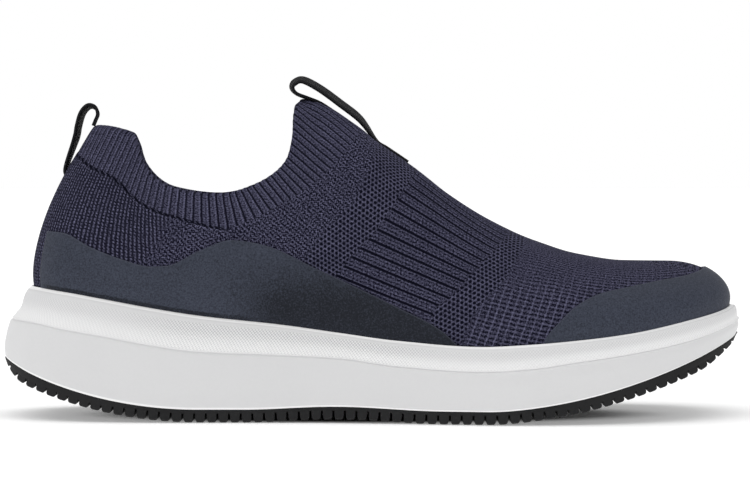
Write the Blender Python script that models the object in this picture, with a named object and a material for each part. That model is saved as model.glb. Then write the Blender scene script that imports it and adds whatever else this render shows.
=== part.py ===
"""Slip-on sneaker for the right foot, standing on its sole.

X runs from the heel to the toe, +Y is the inner (medial) side and Z is up. The shoe is drawn from its
heel at X = 0 and then moved, so that the origin is at the middle of its base. Lengths are in metres.
"""
import math
from collections import namedtuple
from functools import lru_cache

import bpy
import numpy as np

# Sizes of the shoe
LENGTH = 0.300  # foam, heel to toe
BALL_WIDTH = 0.1065  # foam, across the ball
HEEL_WIDTH = 0.081  # foam, across the heel
HEEL_OVERHANG = 0.012  # foam behind the upper
TOE_OVERHANG = 0.0056  # foam ahead of the upper
COLLAR_WIDTH = 0.056
COLLAR_BACK_HEIGHT = 0.1168
COLLAR_LOW_HEIGHT = 0.0893
TONGUE_HEIGHT = 0.1284
TOE_BOX_HEIGHT = 0.0624

# Heights of the foam's rim and of the step along its side
RIM_HEEL = 0.0527
RIM_BALL = 0.0301
RIM_TOE = 0.0455
STEP_HEEL = 0.0395
STEP_BALL = 0.0209
STEP_TOE = 0.0392
CUP_DEPTH = 0.0165  # from the rim down to the footbed, at the heel

# Rise of the foam's underside over the floor
HEEL_ROLL = 0.0192
TOE_SPRING = 0.0286
ARCH_RISE = 0.0013
HEEL_CURVE = 2.0  # powers of the two rolls
TOE_CURVE = 1.70

# Outsole
TREAD = 0.0053  # sheet, lugs and the fit over them
LUG_HEIGHT = 0.0030
LUG_PITCH = 0.0046
LUG_GROOVE = 0.0013
CENTRE_GROOVE = 0.0030
LUG_DRAFT = 0.0003  # each wall of a lug leans in by this
RUBBER_INSET = 0.0004
HEEL_WEDGE = 0.018  # the rubber thins to its heel end over this length
TOE_WEDGE = 0.032
WEDGE_CURVE = 0.8
END_MARGIN = 0.0007  # the rubber stops this short of the foam's ends
SLOPE_STEP = 0.0005  # the underside's slope is taken over this length to either side

# Walls, films and webbing
UPPER_WALL = 0.0022
COLLAR_WALL = 0.0038
RIM_ROUND = 0.0012
HEEL_PUFF = 0.0015
SWELL = 0.0015  # the sides swell out by this at a quarter of their height
SWELL_PEAK = 0.25 * 0.75 ** 3
FOOT_TUCK = 0.0006
INSOLE_THICKNESS = 0.0045
INSOLE_ROUND = 0.0011
INSOLE_GAP = 0.0005
FILM_THICKNESS = 0.0007
FILM_LIFT = 0.0007  # above the foam's rim
HEEL_WEBBING_WIDTH = 0.013
TONGUE_WEBBING_WIDTH = 0.015
WEBBING_THICKNESS = 0.0014
HEEL_LOOP_RISE = 0.0085
HEEL_LOOP_DROP = 0.020
TONGUE_LOOP_RISE = 0.0080
LOOP_LIFT = 0.0007  # the flat tongue webbing over the rounded ridge
FIT = 0.0003  # between pieces that touch

# Where the underside leaves the floor, in shares of LENGTH
HEEL_FLAT = 0.27
ARCH_FROM = 0.327
ARCH_TO = 0.587
TOE_FLAT = 0.65
BALL_AT = 0.64

# Where the sole widens to the ball, its side goes over to the forefoot's and the wall thickens
# to the collar's: a start and a length, in shares of LENGTH or of a column
WIDENING = (0.30, 0.38)
FOREFOOT = (0.35, 0.40)
PADDING = (0.55, 0.35)

# Columns of the upper, counted from the heel's back; the throat is the top of the tongue
COLUMNS = 38
THROAT = 18
COLLAR_LOW = 10
TONGUE_PADDED = 4  # columns ahead of the throat over which the padding ends
FILM_BACK = 2
FILM_SPARE = 2  # columns a film's skin runs on past its trimmed edge
EDGE_STEPS = 4  # points of a film's edge for each row of its table
TURN_STEP = 0.02  # radians, for the outline's direction
OUTLINE_STEPS = 361
SPINE_STEPS = 601
SECTION = 12  # points across the outsole at each end of a lug
BOW_STEPS = 3  # points of a loop for each knot of its path

# Half-widths of the foam and of the last inside it, in shares of the half-width there
PlanRow = namedtuple("PlanRow", "along lateral medial last_lateral last_medial")
PLAN = (
    PlanRow(0.000, 0.000, 0.000, 0.000, 0.000),
    PlanRow(0.017, 0.420, 0.420, 0.358, 0.358),
    PlanRow(0.050, 0.716, 0.716, 0.593, 0.593),
    PlanRow(0.100, 0.889, 0.901, 0.716, 0.723),
    PlanRow(0.167, 0.975, 0.975, 0.778, 0.780),
    PlanRow(0.250, 1.000, 0.963, 0.805, 0.773),
    PlanRow(0.333, 0.993, 0.882, 0.816, 0.711),
    PlanRow(0.433, 0.941, 0.760, 0.805, 0.612),
    PlanRow(0.533, 0.939, 0.724, 0.827, 0.612),
    PlanRow(0.617, 0.975, 0.813, 0.876, 0.707),
    PlanRow(0.683, 1.000, 0.920, 0.911, 0.817),
    PlanRow(0.733, 0.995, 0.986, 0.907, 0.892),
    PlanRow(0.783, 0.967, 0.999, 0.890, 0.920),
    PlanRow(0.833, 0.892, 0.977, 0.832, 0.903),
    PlanRow(0.883, 0.770, 0.911, 0.722, 0.842),
    PlanRow(0.933, 0.582, 0.770, 0.545, 0.712),
    PlanRow(0.967, 0.376, 0.601, 0.348, 0.552),
    PlanRow(0.990, 0.160, 0.376, 0.144, 0.345),
    PlanRow(1.000, -0.113, 0.113, -0.113, 0.113),
)

# Rim and step, in shares of their rise from the ball to the heel or toe, and the cup's depth
FoamRow = namedtuple("FoamRow", "along rim step cup")
FOAM = (
    FoamRow(0.000, 1.000, 1.000, 1.00),
    FoamRow(0.045, 0.970, 0.955, 1.00),
    FoamRow(0.090, 0.905, 0.828, 0.92),
    FoamRow(0.140, 0.796, 0.700, 0.80),
    FoamRow(0.205, 0.640, 0.510, 0.66),
    FoamRow(0.270, 0.505, 0.370, 0.54),
    FoamRow(0.380, 0.348, 0.300, 0.46),
    FoamRow(0.460, 0.205, 0.235, 0.42),
    FoamRow(0.530, 0.088, 0.090, 0.40),
    FoamRow(0.640, 0.000, 0.000, 0.40),
    FoamRow(0.700, 0.055, 0.055, 0.40),
    FoamRow(0.770, 0.170, 0.215, 0.40),
    FoamRow(0.840, 0.330, 0.370, 0.40),
    FoamRow(0.920, 0.620, 0.610, 0.40),
    FoamRow(0.970, 0.820, 0.830, 0.38),
    FoamRow(1.000, 1.000, 1.000, 0.36),
)

# The foam's side from its rim (0) by the step (1) to its underside (2): how far it stands in
# from the sole's outline towards the last, at the heel and from the ball forward
SideRow = namedtuple("SideRow", "down heel fore")
SIDE = (
    SideRow(0.00, 0.90, 0.56),
    SideRow(0.10, 0.78, 0.34),
    SideRow(0.30, 0.67, 0.24),
    SideRow(0.60, 0.57, 0.20),
    SideRow(0.82, 0.40, 0.17),
    SideRow(1.00, 0.24, 0.00),
    SideRow(1.07, 0.19, 0.14),
    SideRow(1.40, 0.07, 0.08),
    SideRow(1.75, 0.00, 0.16),
    SideRow(2.00, 0.02, 0.28),
)

# The collar's edge: where the column starts on the last's outline (degrees round it), and its top
# in shares of LENGTH, half COLLAR_WIDTH and the rise from the low point to the back or the tongue
CollarRow = namedtuple("CollarRow", "column foot along out up roll")
COLLAR = (
    CollarRow(0, 0.0, 0.1197, 0.00, 1.000, 32),
    CollarRow(1, 9.0, 0.1240, 0.25, 0.999, 32),
    CollarRow(2, 17.0, 0.1380, 0.46, 0.985, 32),
    CollarRow(3, 24.5, 0.1550, 0.60, 0.945, 32),
    CollarRow(4, 31.0, 0.1740, 0.69, 0.880, 32),
    CollarRow(5, 37.0, 0.1845, 0.76, 0.700, 32),
    CollarRow(6, 42.5, 0.1940, 0.82, 0.430, 32),
    CollarRow(8, 52.0, 0.2310, 0.94, 0.100, 34),
    CollarRow(10, 61.0, 0.2900, 1.00, 0.000, 36),
    CollarRow(12, 68.7, 0.3500, 0.99, 0.130, 40),
    CollarRow(14, 74.8, 0.3850, 0.92, 0.370, 48),
    CollarRow(15, 77.0, 0.3920, 0.85, 0.570, 54),
    CollarRow(16, 79.0, 0.3965, 0.73, 0.775, 62),
    CollarRow(17, 81.2, 0.4005, 0.46, 0.935, 74),
    CollarRow(18, 83.8, 0.4030, 0.00, 1.000, 90),
)

# Where the columns ahead of the throat start on the outline and end on the instep's ridge
FanRow = namedtuple("FanRow", "column foot along")
FAN = (
    FanRow(18, 83.8, 0.403),
    FanRow(20, 89.5, 0.445),
    FanRow(23, 100.0, 0.557),
    FanRow(27, 118.0, 0.698),
    FanRow(31, 139.0, 0.810),
    FanRow(34, 156.5, 0.857),
    FanRow(36, 168.5, 0.880),
    FanRow(38, 180.0, 0.900),
)

# The ridge: its rise from the toe box to the tongue, its shift to the inner side in shares of half
# BALL_WIDTH, and how full the section under it is (2 is an ellipse)
RidgeRow = namedtuple("RidgeRow", "along up shift full")
RIDGE = (
    RidgeRow(0.403, 1.000, 0.00, 2.30),
    RidgeRow(0.415, 0.990, 0.01, 2.30),
    RidgeRow(0.430, 0.960, 0.02, 2.28),
    RidgeRow(0.455, 0.888, 0.03, 2.25),
    RidgeRow(0.509, 0.716, 0.05, 2.15),
    RidgeRow(0.556, 0.570, 0.07, 2.08),
    RidgeRow(0.597, 0.426, 0.08, 2.02),
    RidgeRow(0.648, 0.278, 0.10, 2.00),
    RidgeRow(0.716, 0.130, 0.11, 2.05),
    RidgeRow(0.781, 0.039, 0.12, 2.12),
    RidgeRow(0.835, 0.003, 0.13, 2.20),
    RidgeRow(0.900, 0.000, 0.14, 2.25),
)

# The seam below the collar, as a share of each column, and how full the padded panel under it is
SeamRow = namedtuple("SeamRow", "column share puff")
SEAM = (
    SeamRow(0, 0.83, 0.3),
    SeamRow(1, 0.81, 0.6),
    SeamRow(4, 0.73, 1.0),
    SeamRow(6, 0.745, 1.0),
    SeamRow(8, 0.755, 0.8),
    SeamRow(10, 0.705, 0.4),
    SeamRow(12, 0.60, 0.0),
    SeamRow(18, 0.62, 0.0),
    SeamRow(38, 0.70, 0.0),
)
BELOW_SEAM = (0.0, 0.08, 0.20, 0.36, 0.54, 0.74, 0.92, 1.0)
ABOVE_SEAM = (0.12, 0.55, 1.0)

# Edges of the films seen from the side: shares of LENGTH, and of TONGUE_HEIGHT over the floor
EdgeRow = namedtuple("EdgeRow", "along up")
QUARTER_EDGE = (
    EdgeRow(-0.050, 0.590),
    EdgeRow(0.085, 0.581),
    EdgeRow(0.128, 0.535),
    EdgeRow(0.167, 0.501),
    EdgeRow(0.207, 0.478),
    EdgeRow(0.227, 0.480),
    EdgeRow(0.272, 0.527),
    EdgeRow(0.314, 0.559),
    EdgeRow(0.351, 0.547),
    EdgeRow(0.430, 0.467),
    EdgeRow(0.536, 0.351),
    EdgeRow(0.588, 0.288),
    EdgeRow(0.603, 0.258),
    EdgeRow(0.614, 0.230),
    EdgeRow(0.622, 0.200),
)
TOE_EDGE = (
    EdgeRow(0.715, 0.200),
    EdgeRow(0.724, 0.244),
    EdgeRow(0.743, 0.292),
    EdgeRow(0.763, 0.334),
    EdgeRow(0.783, 0.360),
    EdgeRow(0.825, 0.397),
    EdgeRow(0.883, 0.431),
    EdgeRow(0.935, 0.467),
    EdgeRow(0.962, 0.510),
)

# The heel loop about the collar's back edge, in shares of HEEL_LOOP_RISE
LoopRow = namedtuple("LoopRow", "along up")
HEEL_LOOP = (
    LoopRow(-1.03, -0.67),
    LoopRow(-0.91, -0.09),
    LoopRow(-0.76, 0.45),
    LoopRow(-0.57, 0.75),
    LoopRow(-0.34, 0.89),
    LoopRow(-0.08, 0.79),
    LoopRow(0.05, 0.52),
    LoopRow(0.05, 0.27),
)

# The tongue loop's free limb about the tongue's top, in shares of TONGUE_LOOP_RISE
TONGUE_LOOP = (
    LoopRow(2.98, -1.02),
    LoopRow(1.95, -0.20),
    LoopRow(0.94, 0.53),
    LoopRow(0.10, 0.96),
    LoopRow(-0.33, 0.86),
    LoopRow(-0.48, 0.58),
    LoopRow(-0.25, 0.27),
)
HEEL_LOOP_SEWN = (1.0, 0.8)  # the sewn limb, in shares of HEEL_LOOP_DROP
TONGUE_LOOP_ENDS = (0.546, 0.503)  # the sewn limb on the ridge, in shares of LENGTH
TONGUE_LOOP_UNDER = (0.412, 0.484)  # the lower limb on the ridge

# Colour, roughness and metallic value of each finish
FINISHES = {
    "rubber": ((0.018, 0.018, 0.020, 1), 0.75, 0.0),
    "foam": ((0.74, 0.74, 0.75, 1), 0.55, 0.0),
    "knit": ((0.038, 0.036, 0.058, 1), 0.92, 0.0),
    "film": ((0.048, 0.054, 0.072, 1), 0.60, 0.0),
    "lining": ((0.030, 0.030, 0.040, 1), 0.95, 0.0),
    "webbing": ((0.016, 0.016, 0.018, 1), 0.85, 0.0),
}


def column_of(rows, name):
    return np.array([getattr(row, name) for row in rows], float)


def ease(share):
    """Smooth step from 0 to 1."""
    share = min(max(share, 0.0), 1.0)
    return share * share * (3 - 2 * share)


def monotone(keys, values, at):
    """A smooth curve through the rows that never swings past them."""
    steps = np.diff(keys)
    slopes = np.diff(values) / steps
    tangents = np.zeros(len(keys))
    tangents[0] = slopes[0]
    tangents[-1] = slopes[-1]
    for i in range(1, len(keys) - 1):
        if slopes[i - 1] * slopes[i] > 0:
            before = 2 * steps[i] + steps[i - 1]
            after = steps[i] + 2 * steps[i - 1]
            tangents[i] = (before + after) / (before / slopes[i - 1] + after / slopes[i])
    at = min(max(at, keys[0]), keys[-1])
    i = min(int(np.searchsorted(keys, at, side="right")) - 1, len(steps) - 1)
    t = (at - keys[i]) / steps[i]
    start = (1 + 2 * t) * (1 - t) ** 2 * values[i] + t * t * (3 - 2 * t) * values[i + 1]
    bend = t * (1 - t) ** 2 * tangents[i] - t * t * (1 - t) * tangents[i + 1]
    return float(start + bend * steps[i])


def read(rows, name, at):
    """The column called name, at a value of the table's first column."""
    return monotone(column_of(rows, rows[0]._fields[0]), column_of(rows, name), at)


def turn_of(along):
    """Angle round the outline, 0 at the heel and pi at the toe."""
    return math.acos(min(max(1 - 2 * along, -1.0), 1.0))


PLAN_TURNS = np.array([turn_of(row.along) for row in PLAN])


def half_width(along):
    return (HEEL_WIDTH + (BALL_WIDTH - HEEL_WIDTH) * ease((along - WIDENING[0]) / WIDENING[1])) / 2


def outline(turn, side, last):
    """A point of the foam's or the last's outline seen from above; side is -1 lateral, 1 medial."""
    name = "lateral" if side < 0 else "medial"
    along = (1 - math.cos(turn)) / 2
    share = monotone(PLAN_TURNS, column_of(PLAN, ("last_" if last else "") + name), turn)
    start = HEEL_OVERHANG if last else 0.0
    end = LENGTH - (TOE_OVERHANG if last else 0.0)
    return np.array([start + (end - start) * along, side * share * half_width(along)])


def outward(turn, side):
    """The last's outline faces this way there, seen from above."""
    ahead = outline(min(turn + TURN_STEP, math.pi), side, True)
    behind = outline(max(turn - TURN_STEP, 0.0), side, True)
    along = ahead - behind
    normal = np.array([-along[1], along[0]]) * side
    if turn < TURN_STEP:
        normal = np.array([-1.0, 0.0])
    if turn > math.pi - TURN_STEP:
        normal = np.array([1.0, 0.0])
    return normal / np.linalg.norm(normal)


def between(along, name, heel, ball, toe):
    """A height that falls from the heel to the ball and rises to the toe."""
    end = heel if along < BALL_AT else toe
    return ball + read(FOAM, name, along) * (end - ball)


def rim_height(x):
    return between(x / LENGTH, "rim", RIM_HEEL, RIM_BALL, RIM_TOE)


def step_height(x):
    return between(x / LENGTH, "step", STEP_HEEL, STEP_BALL, STEP_TOE)


def floor_height(x):
    return rim_height(x) - CUP_DEPTH * read(FOAM, "cup", x / LENGTH)


def keel_height(x):
    """The foam's underside: flat under heel and ball, rolled up at both ends, raised at the arch."""
    along = x / LENGTH
    heel = max(0.0, 1 - along / HEEL_FLAT) ** HEEL_CURVE
    toe = max(0.0, (along - TOE_FLAT) / (1 - TOE_FLAT)) ** TOE_CURVE
    arch = min(max((along - ARCH_FROM) / (ARCH_TO - ARCH_FROM), 0.0), 1.0)
    return TREAD + HEEL_ROLL * heel + TOE_SPRING * toe + ARCH_RISE * math.sin(math.pi * arch) ** 2


# Objects and materials


def clear_scene():
    for item in list(bpy.data.objects):
        bpy.data.objects.remove(item, do_unlink=True)


def finish(name):
    colour, roughness, metallic = FINISHES[name]
    material = bpy.data.materials.get(name) or bpy.data.materials.new(name)
    material.use_nodes = True
    shader = material.node_tree.nodes["Principled BSDF"]
    shader.inputs["Base Color"].default_value = colour
    shader.inputs["Roughness"].default_value = roughness
    shader.inputs["Metallic"].default_value = metallic
    material.diffuse_color = colour
    return material


def add_object(name, points, faces, material_name, sharp=40):
    mesh = bpy.data.meshes.new(name)
    mesh.from_pydata([tuple(map(float, point)) for point in points], [], faces)
    mesh.update()
    mesh.shade_smooth()
    mesh.set_sharp_from_angle(angle=math.radians(sharp))
    mesh.materials.append(finish(material_name))
    item = bpy.data.objects.new(name, mesh)
    bpy.context.collection.objects.link(item)
    return item


# Rings: closed loops of points round the shoe, heel to toe on the lateral side and back


def ring(turns, place):
    """place(turn, side) gives each point; both sides share the ends."""
    lateral = [place(turn, -1) for turn in turns]
    medial = [place(turn, 1) for turn in turns[1:-1]]
    return lateral + medial[::-1]


def skin(rings, first=0):
    """Quads between rings of equal length, facing out when the rings go up."""
    count = len(rings[0])
    faces = []
    for level in range(len(rings) - 1):
        low = first + level * count
        for i in range(count):
            j = (i + 1) % count
            faces.append((low + i, low + j, low + count + j, low + count + i))
    return faces


def ladder(first, count, down):
    """A cap of cross strips over one ring, facing up or down."""
    columns = count // 2
    faces = []
    for i in range(columns):
        corners = [first + i, first + i + 1, first + (count - i - 1) % count, first + (count - i) % count]
        corners = list(dict.fromkeys(corners))
        faces.append(tuple(corners[::-1] if down else corners))
    return faces


def column_turn(column):
    if column <= THROAT:
        return math.radians(read(COLLAR, "foot", column))
    return math.radians(read(FAN, "foot", column))


TURNS = [column_turn(column) for column in range(COLUMNS + 1)]


# Sole


def side_point(turn, side, row):
    """A point of the foam's side, on one row of SIDE."""
    sole = outline(turn, side, False)
    last = outline(turn, side, True)
    fore = ease(((1 - math.cos(turn)) / 2 - FOREFOOT[0]) / FOREFOOT[1])
    x, y = sole + (last - sole) * (row.heel + (row.fore - row.heel) * fore)
    rim, step, keel = rim_height(x), step_height(x), keel_height(x)
    if row.down <= 1:
        return np.array([x, y, rim + (step - rim) * row.down])
    return np.array([x, y, step + (keel - step) * (row.down - 1)])


def midsole():
    def cup_point(turn, side, share):
        x, y = outline(turn, side, True) + outward(turn, side) * (FIT - FOOT_TUCK * (1 - share))
        low = floor_height(x)
        return np.array([x, y, low + (rim_height(x) - FIT - low) * share])

    rings = [ring(TURNS, lambda t, s, row=row: side_point(t, s, row)) for row in SIDE[::-1]]
    rings.append(ring(TURNS, lambda t, s: cup_point(t, s, 1.0)))
    rings.append(ring(TURNS, lambda t, s: cup_point(t, s, 0.0)))
    count = len(rings[0])
    faces = skin(rings)
    faces += ladder(0, count, down=True)
    faces += ladder((len(rings) - 1) * count, count, down=False)
    return add_object("midsole", [p for loop in rings for p in loop], faces, "foam")


def insole():
    def bed_point(turn, side, height, crown):
        inward = FOOT_TUCK + UPPER_WALL + INSOLE_GAP + crown
        x, y = outline(turn, side, True) - outward(turn, side) * inward
        return np.array([x, y, floor_height(x) + FIT + height])

    rings = [
        ring(TURNS, lambda t, s: bed_point(t, s, 0.0, 0.0)),
        ring(TURNS, lambda t, s: bed_point(t, s, INSOLE_THICKNESS - INSOLE_ROUND, 0.0)),
        ring(TURNS, lambda t, s: bed_point(t, s, INSOLE_THICKNESS, INSOLE_ROUND)),
    ]
    count = len(rings[0])
    faces = skin(rings)
    faces += ladder(0, count, down=True)
    faces += ladder(2 * count, count, down=False)
    return add_object("insole", [p for loop in rings for p in loop], faces, "lining")


def lug_stations():
    """Where each lug begins and ends along the underside, in even steps of its curved length."""
    places = np.linspace(END_MARGIN, LENGTH - END_MARGIN, SPINE_STEPS)
    heights = np.array([keel_height(x) for x in places])
    lengths = np.concatenate([[0], np.cumsum(np.hypot(np.diff(places), np.diff(heights)))])
    count = round(lengths[-1] / LUG_PITCH)
    pitch = lengths[-1] / count
    marks = []
    for i in range(count):
        marks += [i * pitch, (i + 1) * pitch - LUG_GROOVE]
    marks.append(lengths[-1])
    return [(float(np.interp(mark, lengths, places)), mark, lengths[-1] - mark) for mark in marks]


def outsole():
    """A sheet with two blocks of rubber in each row, parted by a groove down the middle."""
    turns = np.linspace(TURN_STEP, math.pi - TURN_STEP, OUTLINE_STEPS)
    rows = [[side_point(turn, side, SIDE[-1]) for turn in turns] for side in (-1, 1)]
    edges = [np.array(row) for row in rows]
    stations = lug_stations()
    points = []
    for x, from_heel, to_toe in stations:
        slope = (keel_height(x + SLOPE_STEP) - keel_height(x - SLOPE_STEP)) / (2 * SLOPE_STEP)
        down = np.array([slope, 0.0, -1.0]) / math.hypot(slope, 1)
        ends = (from_heel + END_MARGIN) / HEEL_WEDGE, (to_toe + END_MARGIN) / TOE_WEDGE
        wedge = min(1.0, *ends) ** WEDGE_CURVE
        low, high = [float(np.interp(x, edge[:, 0], edge[:, 1])) for edge in edges]
        low, high = low + RUBBER_INSET, high - RUBBER_INSET
        middle = (low + high) / 2
        gap = min(CENTRE_GROOVE, (high - low) / 4) / 2
        across = (low, middle - gap, middle + gap, high)
        top = keel_height(x) - FIT
        sheet = (TREAD - FIT - LUG_HEIGHT) * wedge
        for drop in (0.0, sheet, sheet + LUG_HEIGHT * wedge):
            points += [np.array([x, y, top]) + down * drop for y in across]
    faces = []
    for i in range(len(stations) - 1):
        here, there = SECTION * i, SECTION * (i + 1)
        faces.append((here, there, there + 3, here + 3))
        faces.append((here + 4, there + 4, there, here))
        faces.append((here + 3, there + 3, there + 7, here + 7))
        faces.append((here + 6, there + 6, there + 5, here + 5))
        for a, b in ((4, 5), (6, 7)):
            if i % 2:
                faces.append((here + b, there + b, there + a, here + a))
            else:
                faces += lug(here + a, here + b, there + a, there + b)
    last = SECTION * (len(stations) - 1)
    faces.append((0, 3, 7, 6, 5, 4))
    faces.append((last + 4, last + 5, last + 6, last + 7, last + 3, last))
    points = draft(points, len(stations))
    used = sorted({index for face in faces for index in face})
    order = {index: place for place, index in enumerate(used)}
    faces = [tuple(order[index] for index in face) for face in faces]
    return add_object("outsole", [points[index] for index in used], faces, "rubber", sharp=25)


def lug(a, b, c, d):
    """Four walls and a sole over the sheet's quad a, b (heel end), c, d (toe end)."""
    walls = [(b, b + 4, a + 4, a), (c, c + 4, d + 4, d), (a, a + 4, c + 4, c), (d, d + 4, b + 4, b)]
    return walls + [(b + 4, d + 4, c + 4, a + 4)]


def draft(points, stations):
    """Each lug's sole is a little smaller than its foot."""
    points = [point.copy() for point in points]
    for i in range(stations):
        along = LUG_DRAFT if i % 2 == 0 else -LUG_DRAFT
        for corner, across in ((8, 1), (9, -1), (10, 1), (11, -1)):
            if 0 < i < stations - 1:
                points[SECTION * i + corner][0] += along
            points[SECTION * i + corner][1] += LUG_DRAFT * across
    return points


# Upper


Ray = namedtuple("Ray", "foot top out roll full lead")


def ridge_point(along):
    x = LENGTH * along
    y = read(RIDGE, "shift", along) * BALL_WIDTH / 2
    z = TOE_BOX_HEIGHT + read(RIDGE, "up", along) * (TONGUE_HEIGHT - TOE_BOX_HEIGHT)
    return np.array([x, y, z])


@lru_cache(maxsize=None)
def ray(column, side):
    """One column of the upper, from the foam's rim to the collar's edge or the ridge."""
    turn = TURNS[column]
    x, y = outline(turn, side, True)
    foot = np.array([x, y, rim_height(x)])
    out = np.append(outward(turn, side), 0.0)
    if column > THROAT:
        along = read(FAN, "along", column)
        return Ray(foot, ridge_point(along), out, math.pi / 2, read(RIDGE, "full", along), 1.0)
    high = COLLAR_BACK_HEIGHT if column < COLLAR_LOW else TONGUE_HEIGHT
    top = np.array([
        LENGTH * read(COLLAR, "along", column),
        side * read(COLLAR, "out", column) * COLLAR_WIDTH / 2,
        COLLAR_LOW_HEIGHT + read(COLLAR, "up", column) * (high - COLLAR_LOW_HEIGHT),
    ])
    share = ease(column / THROAT)
    roll = math.radians(read(COLLAR, "roll", column))
    return Ray(foot, top, out, roll, 2 + (RIDGE[0].full - 2) * share, 0.8 + 0.2 * share)


def rise_and_lean(line, share):
    """How far up and how far in a column has come."""
    angle = line.roll * share
    power = 2 / line.full
    rise = (math.sin(angle) / math.sin(line.roll)) ** power
    lean = (1 - max(math.cos(angle), 0.0) ** power) / (1 - max(math.cos(line.roll), 0.0) ** power)
    return rise, lean ** line.lead


def puff(column, share):
    """The padded heel panel stands proud up to the seam and ends there in a step."""
    reach = share / read(SEAM, "share", column)
    if reach > 1.001:
        return 0.0
    crown = ease((reach - 0.2) / 0.5) * (1 - 0.5 * ease((reach - 0.88) / 0.12))
    return HEEL_PUFF * read(SEAM, "puff", column) * crown


def upper_point(column, side, share, padded=True):
    line = ray(column, side)
    rise, lean = rise_and_lean(line, share)
    point = line.foot + (line.top - line.foot) * np.array([lean, lean, rise])
    swell = SWELL * share * (1 - share) ** 3 / SWELL_PEAK
    return point + line.out * (swell + (puff(column, share) if padded else 0.0))


def shares_of(column):
    seam = read(SEAM, "share", column)
    return [seam * share for share in BELOW_SEAM] + [seam + (1 - seam) * share for share in ABOVE_SEAM]


def lifted_share(column, side, lift):
    """The share of a column at which it stands this far above the rim."""
    line = ray(column, side)
    rise = lift / (line.top[2] - line.foot[2])
    return math.asin(rise ** (line.full / 2) * math.sin(line.roll)) / line.roll


def bottom_point(column, side):
    """The upper's lower edge, tucked in on the footbed."""
    x, y = outline(TURNS[column], side, True) - outward(TURNS[column], side) * FOOT_TUCK
    return np.array([x, y, floor_height(x) + FIT])


class Sheet:
    """A grid of points over the upper's columns, whose two sides share the heel, ridge and toe."""

    def __init__(self, columns, levels, place, sides=(-1, 1)):
        self.points = []
        self.index = {}
        self.columns = columns
        self.levels = levels
        self.sides = sides
        for side in sides:
            for column in columns:
                for level in range(levels):
                    self.add(side, column, level, place)
        self.faces = []
        for side in sides:
            for column in columns[:-1]:
                for level in range(levels - 1):
                    self.add_face(side, column, level)
        self.normals = self.vertex_normals()

    def key(self, side, column, level):
        shared = column in (0, COLUMNS) or (level == self.levels - 1 and column >= THROAT)
        return (0 if shared and len(self.sides) == 2 else side, column, level)

    def add(self, side, column, level, place):
        key = self.key(side, column, level)
        if key not in self.index:
            self.index[key] = len(self.points)
            self.points.append(place(column, side, level))

    def at(self, side, column, level):
        return self.index[self.key(side, column, level)]

    def add_face(self, side, column, level):
        corners = [
            self.at(side, column, level),
            self.at(side, column + 1, level),
            self.at(side, column + 1, level + 1),
            self.at(side, column, level + 1),
        ]
        self.faces.append(tuple(corners if side < 0 else corners[::-1]))

    def vertex_normals(self):
        points = np.array(self.points)
        normals = np.zeros_like(points)
        for face in self.faces:
            a, b, c, d = points[list(face)]
            normal = np.cross(c - a, d - b)
            for corner in face:
                normals[corner] += normal
        return normals / np.linalg.norm(normals, axis=1)[:, None]

    def loop(self, level, last_column):
        """Indices along one level, out on the lateral side and back on the medial one."""
        columns = range(last_column + 1)
        lateral = [self.at(-1, column, level) for column in columns]
        medial = [self.at(1, column, level) for column in columns]
        return lateral + medial[-2:0:-1]


def strip(one, other):
    """Quads between two closed loops of indices."""
    count = len(one)
    return [(one[i], other[i], other[(i + 1) % count], one[(i + 1) % count]) for i in range(count)]


def upper():
    columns = list(range(COLUMNS + 1))
    levels = 1 + len(BELOW_SEAM) + len(ABOVE_SEAM)

    def place(column, side, level, padded=True):
        if level == 0:
            return bottom_point(column, side)
        return upper_point(column, side, shares_of(column)[level - 1], padded)

    outer = Sheet(columns, levels, place)
    plain = Sheet(columns, levels, lambda c, s, k: place(c, s, k, padded=False))
    inner = []
    for (side, column, level), i in sorted(plain.index.items(), key=lambda item: item[1]):
        share = 0.0 if level == 0 else shares_of(column)[level - 1]
        collar = ease((share - PADDING[0]) / PADDING[1]) * (1 - ease((column - THROAT) / TONGUE_PADDED))
        wall = UPPER_WALL + (COLLAR_WALL - UPPER_WALL) * collar
        inner.append(plain.points[i] - plain.normals[i] * wall)
    count = len(outer.points)
    points = list(outer.points) + inner
    faces = list(outer.faces) + [tuple(i + count for i in face[::-1]) for face in outer.faces]

    rim = outer.loop(levels - 1, THROAT)
    below = outer.loop(levels - 2, THROAT)
    crest = []
    for i, under in zip(rim, below):
        away = np.array(outer.points[i]) - np.array(outer.points[under])
        away /= np.linalg.norm(away)
        if i == outer.at(-1, THROAT, levels - 1):
            away = np.array([-1.0, 0.0, 0.0])
        crest.append(len(points))
        points.append((np.array(outer.points[i]) + np.array(inner[i])) / 2 + away * RIM_ROUND)
    faces += [face[::-1] for face in strip(rim, crest)]
    faces += [face[::-1] for face in strip(crest, [i + count for i in rim])]
    base = outer.loop(0, COLUMNS)
    faces += strip(base, [i + count for i in base])
    return add_object("upper", points, faces, "knit", sharp=60)


# Films


def shell(name, columns, sides):
    """A closed skin over part of the upper, whose edge the cutter then trims."""
    levels = len(BELOW_SEAM) + len(ABOVE_SEAM)

    def place(column, side, level):
        share = shares_of(column)[level]
        return upper_point(column, side, max(share, lifted_share(column, side, FILM_LIFT)))

    sheet = Sheet(columns, levels, place, sides)
    near = [p + n * FIT for p, n in zip(sheet.points, sheet.normals)]
    far = [p + n * (FIT + FILM_THICKNESS) for p, n in zip(sheet.points, sheet.normals)]
    count = len(near)
    faces = [tuple(i + count for i in face) for face in sheet.faces] + [face[::-1] for face in sheet.faces]
    edges = {}
    for face in sheet.faces:
        for a, b in zip(face, face[1:] + face[:1]):
            edges[(a, b)] = True
    for a, b in edges:
        if (b, a) not in edges:
            faces.append((a, b, b + count, a + count))
    return add_object(name, near + far, faces, "film", sharp=50)


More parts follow.
